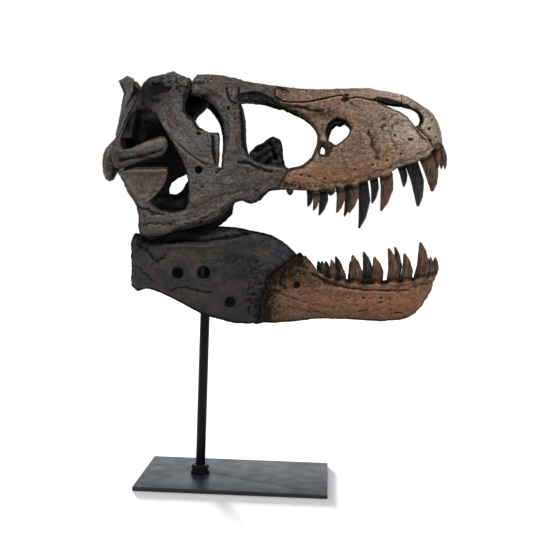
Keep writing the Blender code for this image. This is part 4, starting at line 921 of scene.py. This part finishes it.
class Wiring:
    """Short ways to add and join the nodes of a material or world. A value may be a number or a socket."""

    def __init__(self, owner):
        owner.use_nodes = True
        self.tree = owner.node_tree
        self.coordinates = self.node("ShaderNodeTexCoord").outputs

    def node(self, kind, **settings):
        """A new node with its settings."""
        made = self.tree.nodes.new(kind)
        for key, value in settings.items():
            setattr(made, key, value)
        return made

    def join(self, source, target):
        self.tree.links.new(source, target)

    def map(self, name):
        """One of the maps that a bone's mesh carries."""
        return self.node("ShaderNodeAttribute", attribute_name=name).outputs["Fac"]

    def noise(self, size, detail, stretch=(1, 1, 1)):
        """Noise with lumps of a size in millimetres."""
        mapping = self.node("ShaderNodeMapping")
        mapping.inputs["Scale"].default_value = stretch
        self.join(self.coordinates["Object"], mapping.inputs["Vector"])
        texture = self.node("ShaderNodeTexNoise")
        texture.inputs["Scale"].default_value = 1 / (size * MM)
        texture.inputs["Detail"].default_value = detail
        self.join(mapping.outputs["Vector"], texture.inputs["Vector"])
        return texture.outputs["Fac"]

    def cells(self, size):
        """Distance to the nearest of many scattered points, which lie about a size apart."""
        texture = self.node("ShaderNodeTexVoronoi")
        texture.inputs["Scale"].default_value = 1 / (size * MM)
        self.join(self.coordinates["Object"], texture.inputs["Vector"])
        return texture.outputs["Distance"]

    def spread(self, source, low, high, out_low=0.0, out_high=1.0):
        """Maps a value from one range to another and keeps it in bounds."""
        ranged = self.node("ShaderNodeMapRange")
        limits = {"From Min": low, "From Max": high, "To Min": out_low, "To Max": out_high}
        for socket, value in limits.items():
            ranged.inputs[socket].default_value = value
        self.join(source, ranged.inputs["Value"])
        return ranged.outputs["Result"]

    def patches(self, size, detail, low, high, most, stretch=(1, 1, 1)):
        """Patches of a size, from 0 where noise is low to the most where it is high."""
        return self.spread(self.noise(size, detail, stretch), low, high, 0.0, most)

    def line(self, source, level, width):
        """1 in a thin line where a value passes a level, 0 elsewhere."""
        gap = self.math("ABSOLUTE", self.math("SUBTRACT", source, level), 0.0)
        return self.spread(gap, 0.0, width, 1.0, 0.0)

    def math(self, kind, first, second):
        """Two values added, multiplied and so on."""
        made = self.node("ShaderNodeMath", operation=kind)
        for socket, value in zip(made.inputs, (first, second)):
            if isinstance(value, (int, float)):
                socket.default_value = value
            else:
                self.join(value, socket)
        return made.outputs[0]

    def mix(self, share, first, second, blend="MIX"):
        """Mixes two colours."""
        made = self.node("ShaderNodeMix", data_type="RGBA", blend_type=blend)
        for socket, value in ((made.inputs[0], share), (made.inputs[6], first), (made.inputs[7], second)):
            if isinstance(value, (int, float, tuple)):
                socket.default_value = value
            else:
                self.join(value, socket)
        return made.outputs[2]

    def darker(self, colour, share):
        """A colour with less light in it."""
        return self.mix(1.0, colour, (share, share, share, 1.0), "MULTIPLY")

    def bump(self, height, strength, distance):
        """Fine relief on the shader's surface."""
        made = self.node("ShaderNodeBump")
        made.inputs["Strength"].default_value = strength
        made.inputs["Distance"].default_value = distance * MM
        self.join(height, made.inputs["Height"])
        self.join(made.outputs["Normal"], self.shader("Normal"))

    def shader(self, socket):
        """One of the inputs of a material's shader."""
        return self.tree.nodes["Principled BSDF"].inputs[socket]


def snout_colours(wiring):
    """Body and highlight of the snout, which both turn paler towards its tip."""
    tip = wiring.map("tip")
    pairs = zip(LOOKS["snout_bone"][:2], LOOKS["snout_tip"][:2])
    return [wiring.mix(tip, linear(*rear), linear(*front)) for rear, front in pairs]


def bone_colour(wiring, slot, body, highlight, crackle):
    """Body colour in patches, with rust, blotches, rubbed paint and painted highlights, specks and fine dark
    lines on it.
    """
    dark, rust = (linear(*colour) for colour in LOOKS[slot][2:])
    cool_share, earth_share, speck_share = PATCHES[slot]
    stain = wiring.math("MULTIPLY", wiring.map("stain"), 0.85)
    rubbed = wiring.math("MULTIPLY", wiring.map("rubbed"), 0.6)
    colour = body
    for share, layer in (
        (wiring.patches(26, 4, 0.42, 0.62, 0.6), wiring.darker(body, 0.55)),
        (wiring.patches(17, 5, 0.46, 0.60, cool_share, (1, 1, 1.5)), linear(*COOL)),
        (wiring.patches(13, 5, 0.50, 0.62, earth_share), linear(*EARTH)),
        (wiring.patches(2.6, 6, 0.46, 0.66, 0.6, (1, 1, 1.2)), highlight),
        (stain, rust),
        (wiring.patches(4.5, 6, 0.50, 0.66, 0.55, (1.2, 1, 1)), wiring.darker(body, 0.35)),
        # Rubbed paint and painted highlight
        (rubbed, highlight),
        (wiring.patches(1.1, 4, 0.56, 0.70, speck_share), dark),
        (wiring.math("MULTIPLY", crackle, 0.2), dark),
    ):
        colour = wiring.mix(share, colour, layer)
    return colour


def tooth_colour(wiring, enamel, highlight):
    """Enamel with dark upright streaks and pale glints."""
    streaks = wiring.patches(2.6, 5, 0.40, 0.58, 0.9, (1, 1, 0.25))
    colour = wiring.mix(streaks, enamel, wiring.darker(enamel, 0.22))
    glints = wiring.patches(1.8, 4, 0.56, 0.7, 0.5, (1, 1, 0.3))
    return wiring.mix(glints, colour, wiring.mix(0.5, enamel, highlight))


def bone_gloss(wiring):
    """Satin in patches, glossier on teeth, and dull where the wash and painted shade lie."""
    rough = wiring.spread(wiring.noise(5, 3), 0.3, 0.7, 0.38, 0.60)
    glossy_teeth = wiring.math("MULTIPLY", wiring.map("tooth"), 0.12)
    wiring.join(wiring.math("SUBTRACT", rough, glossy_teeth), wiring.shader("Roughness"))
    shine = wiring.spread(wiring.map("wash"), 0.2, 0.9, 0.32, 0.08)
    wiring.join(shine, wiring.shader("Specular IOR Level"))


def bone_relief(wiring, crackle):
    """Fine pores, lumps and cracks, too small for the mesh."""
    pores = wiring.math("MULTIPLY", wiring.spread(wiring.cells(1.6), 0.05, 0.35), 0.4)
    relief = wiring.math("ADD", wiring.noise(1.3, 6, (0.7, 1, 1.3)), pores)
    relief = wiring.math("ADD", relief, wiring.math("MULTIPLY", wiring.noise(4.5, 4), 0.9))
    relief = wiring.math("SUBTRACT", relief, wiring.math("MULTIPLY", crackle, 0.5))
    wiring.bump(relief, strength=0.9, distance=0.6)


def bone_material(name, slot, enamel):
    """Painted resin, for bone and its teeth, with a dark wash and painted shade over both in the hollows and
    on inner faces.
    """
    material = bpy.data.materials.new(name)
    wiring = Wiring(material)
    body, highlight, dark = (linear(*colour) for colour in LOOKS[slot][:3])
    if slot.startswith("snout"):
        body, highlight = snout_colours(wiring)
    crackle = wiring.line(wiring.noise(9, 6, (0.7, 1, 1.6)), 0.5, 0.012)
    colour = bone_colour(wiring, slot, body, highlight, crackle)
    colour = wiring.mix(wiring.map("tooth"), colour, tooth_colour(wiring, linear(*enamel), highlight))
    # Dark wash and painted shade over bone and teeth
    colour = wiring.mix(wiring.math("MULTIPLY", wiring.map("wash"), 0.94), colour, dark)
    wiring.join(colour, wiring.shader("Base Color"))
    bone_gloss(wiring)
    bone_relief(wiring, crackle)
    return material


def steel_material(name, colour, roughness, metallic, grain, shine=0.5):
    """Powder coat or oxide on steel: a fine orange-peel bump, with pale specks of dust that also paint in
    some sheen, and thin patches in its gloss.
    """
    material = bpy.data.materials.new(name)
    wiring = Wiring(material)
    patches = wiring.spread(wiring.noise(40, 3), 0.4, 0.7, 1.0, 1.5)
    coat = wiring.mix(1.0, linear(*colour), patches, "MULTIPLY")
    # Pale specks: dust, and painted sheen on the dark coat
    dust_and_sheen = wiring.patches(0.8, 2, 0.66, 0.75, 0.25)
    gloss = wiring.spread(wiring.noise(18, 4), 0.3, 0.7, roughness - 0.05, roughness + 0.07)
    wiring.join(wiring.mix(dust_and_sheen, coat, linear(*DUST_AND_SHEEN)), wiring.shader("Base Color"))
    wiring.join(gloss, wiring.shader("Roughness"))
    wiring.shader("Metallic").default_value = metallic
    wiring.shader("Specular IOR Level").default_value = shine
    wiring.bump(wiring.noise(grain, 2), strength=0.15, distance=0.05)
    return material


def dress(piece, nodes, material):
    """Gives a piece its material, and lets it ride on the body and stand in for its nodes."""
    piece.data.materials.clear()
    piece.data.materials.append(material)
    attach(piece, "root")
    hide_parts(*(node.name for node in nodes))


def smoothed_copy(kinds, side, nodes):
    """The fine copy of one bone or group of bones, without its facets."""
    words = list(kinds) + ([SIDES[side]] if side else [])
    piece = fine_copy(nodes, "_".join(words + ["surface"]))
    points = read_points(piece.data)
    softness = 1 - TOOTH_FIRMNESS * tooth_share(points, kinds[0])
    write_points(piece.data, smooth(points, read_edges(piece.data), softness[:, None]))
    return piece


def make_bone(kinds, side, nodes, box):
    """A carved copy of one bone, or of bones that share a surface, kept inside the solids' box."""
    piece = smoothed_copy(kinds, side, nodes)
    bone = Surface(piece, side, kinds[0])
    bone.height += TOOTH_SWELL * bone.tooth
    for kind in kinds:
        if kind in CARVINGS:
            CARVINGS[kind](bone)
    round_off(bone)
    roughen(bone)
    flute_teeth(bone)
    low, high = (np.array(corner) / MM for corner in box)
    carved = np.clip(bone.points + bone.normals * bone.height[:, None], low, high)
    write_points(bone.mesh, carved)
    bone.normals = read_normals(bone.mesh)
    finish_maps(bone, carved)
    return piece


def bone_groups(nodes):
    """Kinds of bone that share one surface, each kind on its own where it isn't fused to another."""
    kinds = sorted({name.partition("_")[0] for name in nodes if not name.startswith("stand_")})
    alone = [(kind,) for kind in kinds if not any(kind in group for group in FUSED)]
    return list(FUSED) + alone


def make_bones(nodes, slots, box):
    """Every bone on both sides, in the colours of its slot and its side's teeth, with painted shade on the
    far side's teeth.
    """
    materials = {}
    for slot in LOOKS:
        for side, word in SIDES.items():
            materials[slot, side] = bone_material(slot + "_" + word, slot, TOOTH_COLOURS[side])
    made = []
    for kinds in bone_groups(nodes):
        for side in SIDES:
            members = [nodes[node_name(kind, side)] for kind in kinds if node_name(kind, side) in nodes]
            if members:
                slot = slots[members[0].name]
                piece = make_bone(kinds, side, members, box)
                dress(piece, members, materials[slot, side])
                made.append(piece)
    return made


def bevelled(node, name, width):
    """A copy of a stand node with its sharp edges rounded."""
    shape = bmesh.new()
    shape.from_mesh(node.data)
    bmesh.ops.remove_doubles(shape, verts=shape.verts, dist=WELD * MM)
    bmesh.ops.dissolve_limit(shape, angle_limit=FLAT_ANGLE, verts=shape.verts, edges=shape.edges)
    sharp = [edge for edge in shape.edges if edge.calc_face_angle(0) > SHARP_ANGLE]
    bmesh.ops.bevel(shape, geom=sharp, offset=width * MM, segments=4, profile=0.5, affect="EDGES")
    mesh = bpy.data.meshes.new(name)
    shape.to_mesh(mesh)
    shape.free()
    mesh.shade_smooth()
    mesh.set_sharp_from_angle(angle=SHARP_ANGLE)
    return add_object(name, mesh)


def make_stand(nodes):
    """The plate, rod, washer and nut, each with its edges rounded."""
    coat = steel_material("powder_coat", (20, 21, 25), roughness=0.42, metallic=0.0, grain=0.9)
    rod_coat = steel_material("rod_coat", (6, 7, 11), roughness=0.3, metallic=0.0, grain=0.9, shine=0.12)
    oxide = steel_material("black_oxide", (20, 20, 24), roughness=0.36, metallic=0.7, grain=0.6)
    made = []
    for name, material, rounding in (
        ("stand_base", coat, 0.6),
        ("stand_rod", rod_coat, 0.5),
        ("stand_washer", oxide, 0.35),
        ("stand_nut", oxide, 0.7),
    ):
        piece = bevelled(nodes[name], name + "_surface", rounding)
        dress(piece, [nodes[name]], material)
        made.append(piece)
    return made


def make_floor():
    """A matt white floor, which shows the plate's shadow and throws no soft light back."""
    material = bpy.data.materials.new("floor")
    wiring = Wiring(material)
    wiring.shader("Base Color").default_value = (FLOOR_WHITE, FLOOR_WHITE, FLOOR_WHITE, 1)
    wiring.shader("Roughness").default_value = 1.0
    wiring.shader("Specular IOR Level").default_value = 0.0
    bpy.ops.mesh.primitive_plane_add(size=FLOOR_SIZE, location=(0, 0, -FLOOR_DROP))
    floor = bpy.context.object
    floor.name = "floor"
    floor.data.materials.append(material)
    floor.visible_diffuse = False
    return floor


def make_world():
    """A white studio: white behind the object, and light that comes mostly from above."""
    world = bpy.data.worlds.new("studio")
    bpy.context.scene.world = world
    wiring = Wiring(world)
    direction = wiring.node("ShaderNodeSeparateXYZ")
    wiring.join(wiring.coordinates["Generated"], direction.inputs["Vector"])
    sky = wiring.spread(direction.outputs["Z"], -LIGHT_BLEND, LIGHT_BLEND, LIGHT_BELOW, LIGHT_ABOVE)
    to_camera = wiring.node("ShaderNodeLightPath").outputs["Is Camera Ray"]
    background = wiring.tree.nodes["Background"]
    background.inputs["Color"].default_value = (1, 1, 1, 1)
    wiring.join(wiring.math("MAXIMUM", to_camera, sky), background.inputs["Strength"])
    world.cycles_visibility.glossy = False


def make_sun(name, direction, spread, strength, lit, colour=(1, 1, 1)):
    """Light from one direction, softer with a wider spread in degrees, on the lit objects only."""
    lamp = bpy.data.lights.new(name, "SUN")
    lamp.angle = math.radians(spread)
    lamp.energy = strength
    lamp.color = colour
    light = add_object(name, lamp)
    light.rotation_mode = "QUATERNION"
    light.rotation_quaternion = Vector(direction).to_track_quat("Z", "Y")
    light.light_linking.receiver_collection = bpy.data.collections.new(name + "_lit")
    for thing in lit:
        light.light_linking.receiver_collection.objects.link(thing)


def make_lights(bones, stand, floor):
    """Lights from the right front and the rear, a sheen on the stand and light on the floor."""
    make_sun("key", (0.35, -0.6, 0.9), spread=30, strength=2.6, lit=bones + stand)
    make_sun("side", (-0.9, -0.25, 0.7), spread=40, strength=1.0, lit=bones + stand)
    make_sun("sheen", (0, 0.97, 0.26), spread=40, strength=0.5, lit=stand, colour=(0.86, 0.93, 1.0))
    make_sun("floor_light", (-0.25, 0.97, 0.096), spread=11, strength=24, lit=[floor])


def make_camera():
    """The photo's camera: its place, its aim by yaw and pitch, and its roll about that aim."""
    lens = bpy.data.cameras.new("camera")
    lens.sensor_width = CAMERA_SENSOR
    lens.lens = CAMERA_LENS
    lens.clip_start = 0.05
    lens.clip_end = 50
    camera = add_object("camera", lens)
    level = math.cos(CAMERA_PITCH)
    aim = Vector((math.sin(CAMERA_YAW) * level, math.cos(CAMERA_YAW) * level, math.sin(CAMERA_PITCH)))
    camera.location = CAMERA_PLACE
    camera.rotation_mode = "QUATERNION"
    camera.rotation_quaternion = aim.to_track_quat("-Z", "Y") @ Quaternion((0, 0, 1), CAMERA_ROLL)
    bpy.context.scene.camera = camera


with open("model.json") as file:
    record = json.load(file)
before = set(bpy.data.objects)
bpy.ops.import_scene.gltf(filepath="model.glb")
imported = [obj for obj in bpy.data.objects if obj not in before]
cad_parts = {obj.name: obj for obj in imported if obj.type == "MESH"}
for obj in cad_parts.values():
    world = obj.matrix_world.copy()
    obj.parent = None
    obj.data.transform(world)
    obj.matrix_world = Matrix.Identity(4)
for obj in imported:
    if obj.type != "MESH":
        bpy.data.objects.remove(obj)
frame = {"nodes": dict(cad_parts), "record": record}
cad_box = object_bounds()
slots = {part["node"]: part["material_slot"] for part in frame["record"]["subparts"]}
bpy.context.scene.view_settings.view_transform = "Standard"
make_camera()
make_world()
floor = make_floor()
bones = make_bones(frame["nodes"], slots, cad_box)
stand = make_stand(frame["nodes"])
make_lights(bones, stand, floor)
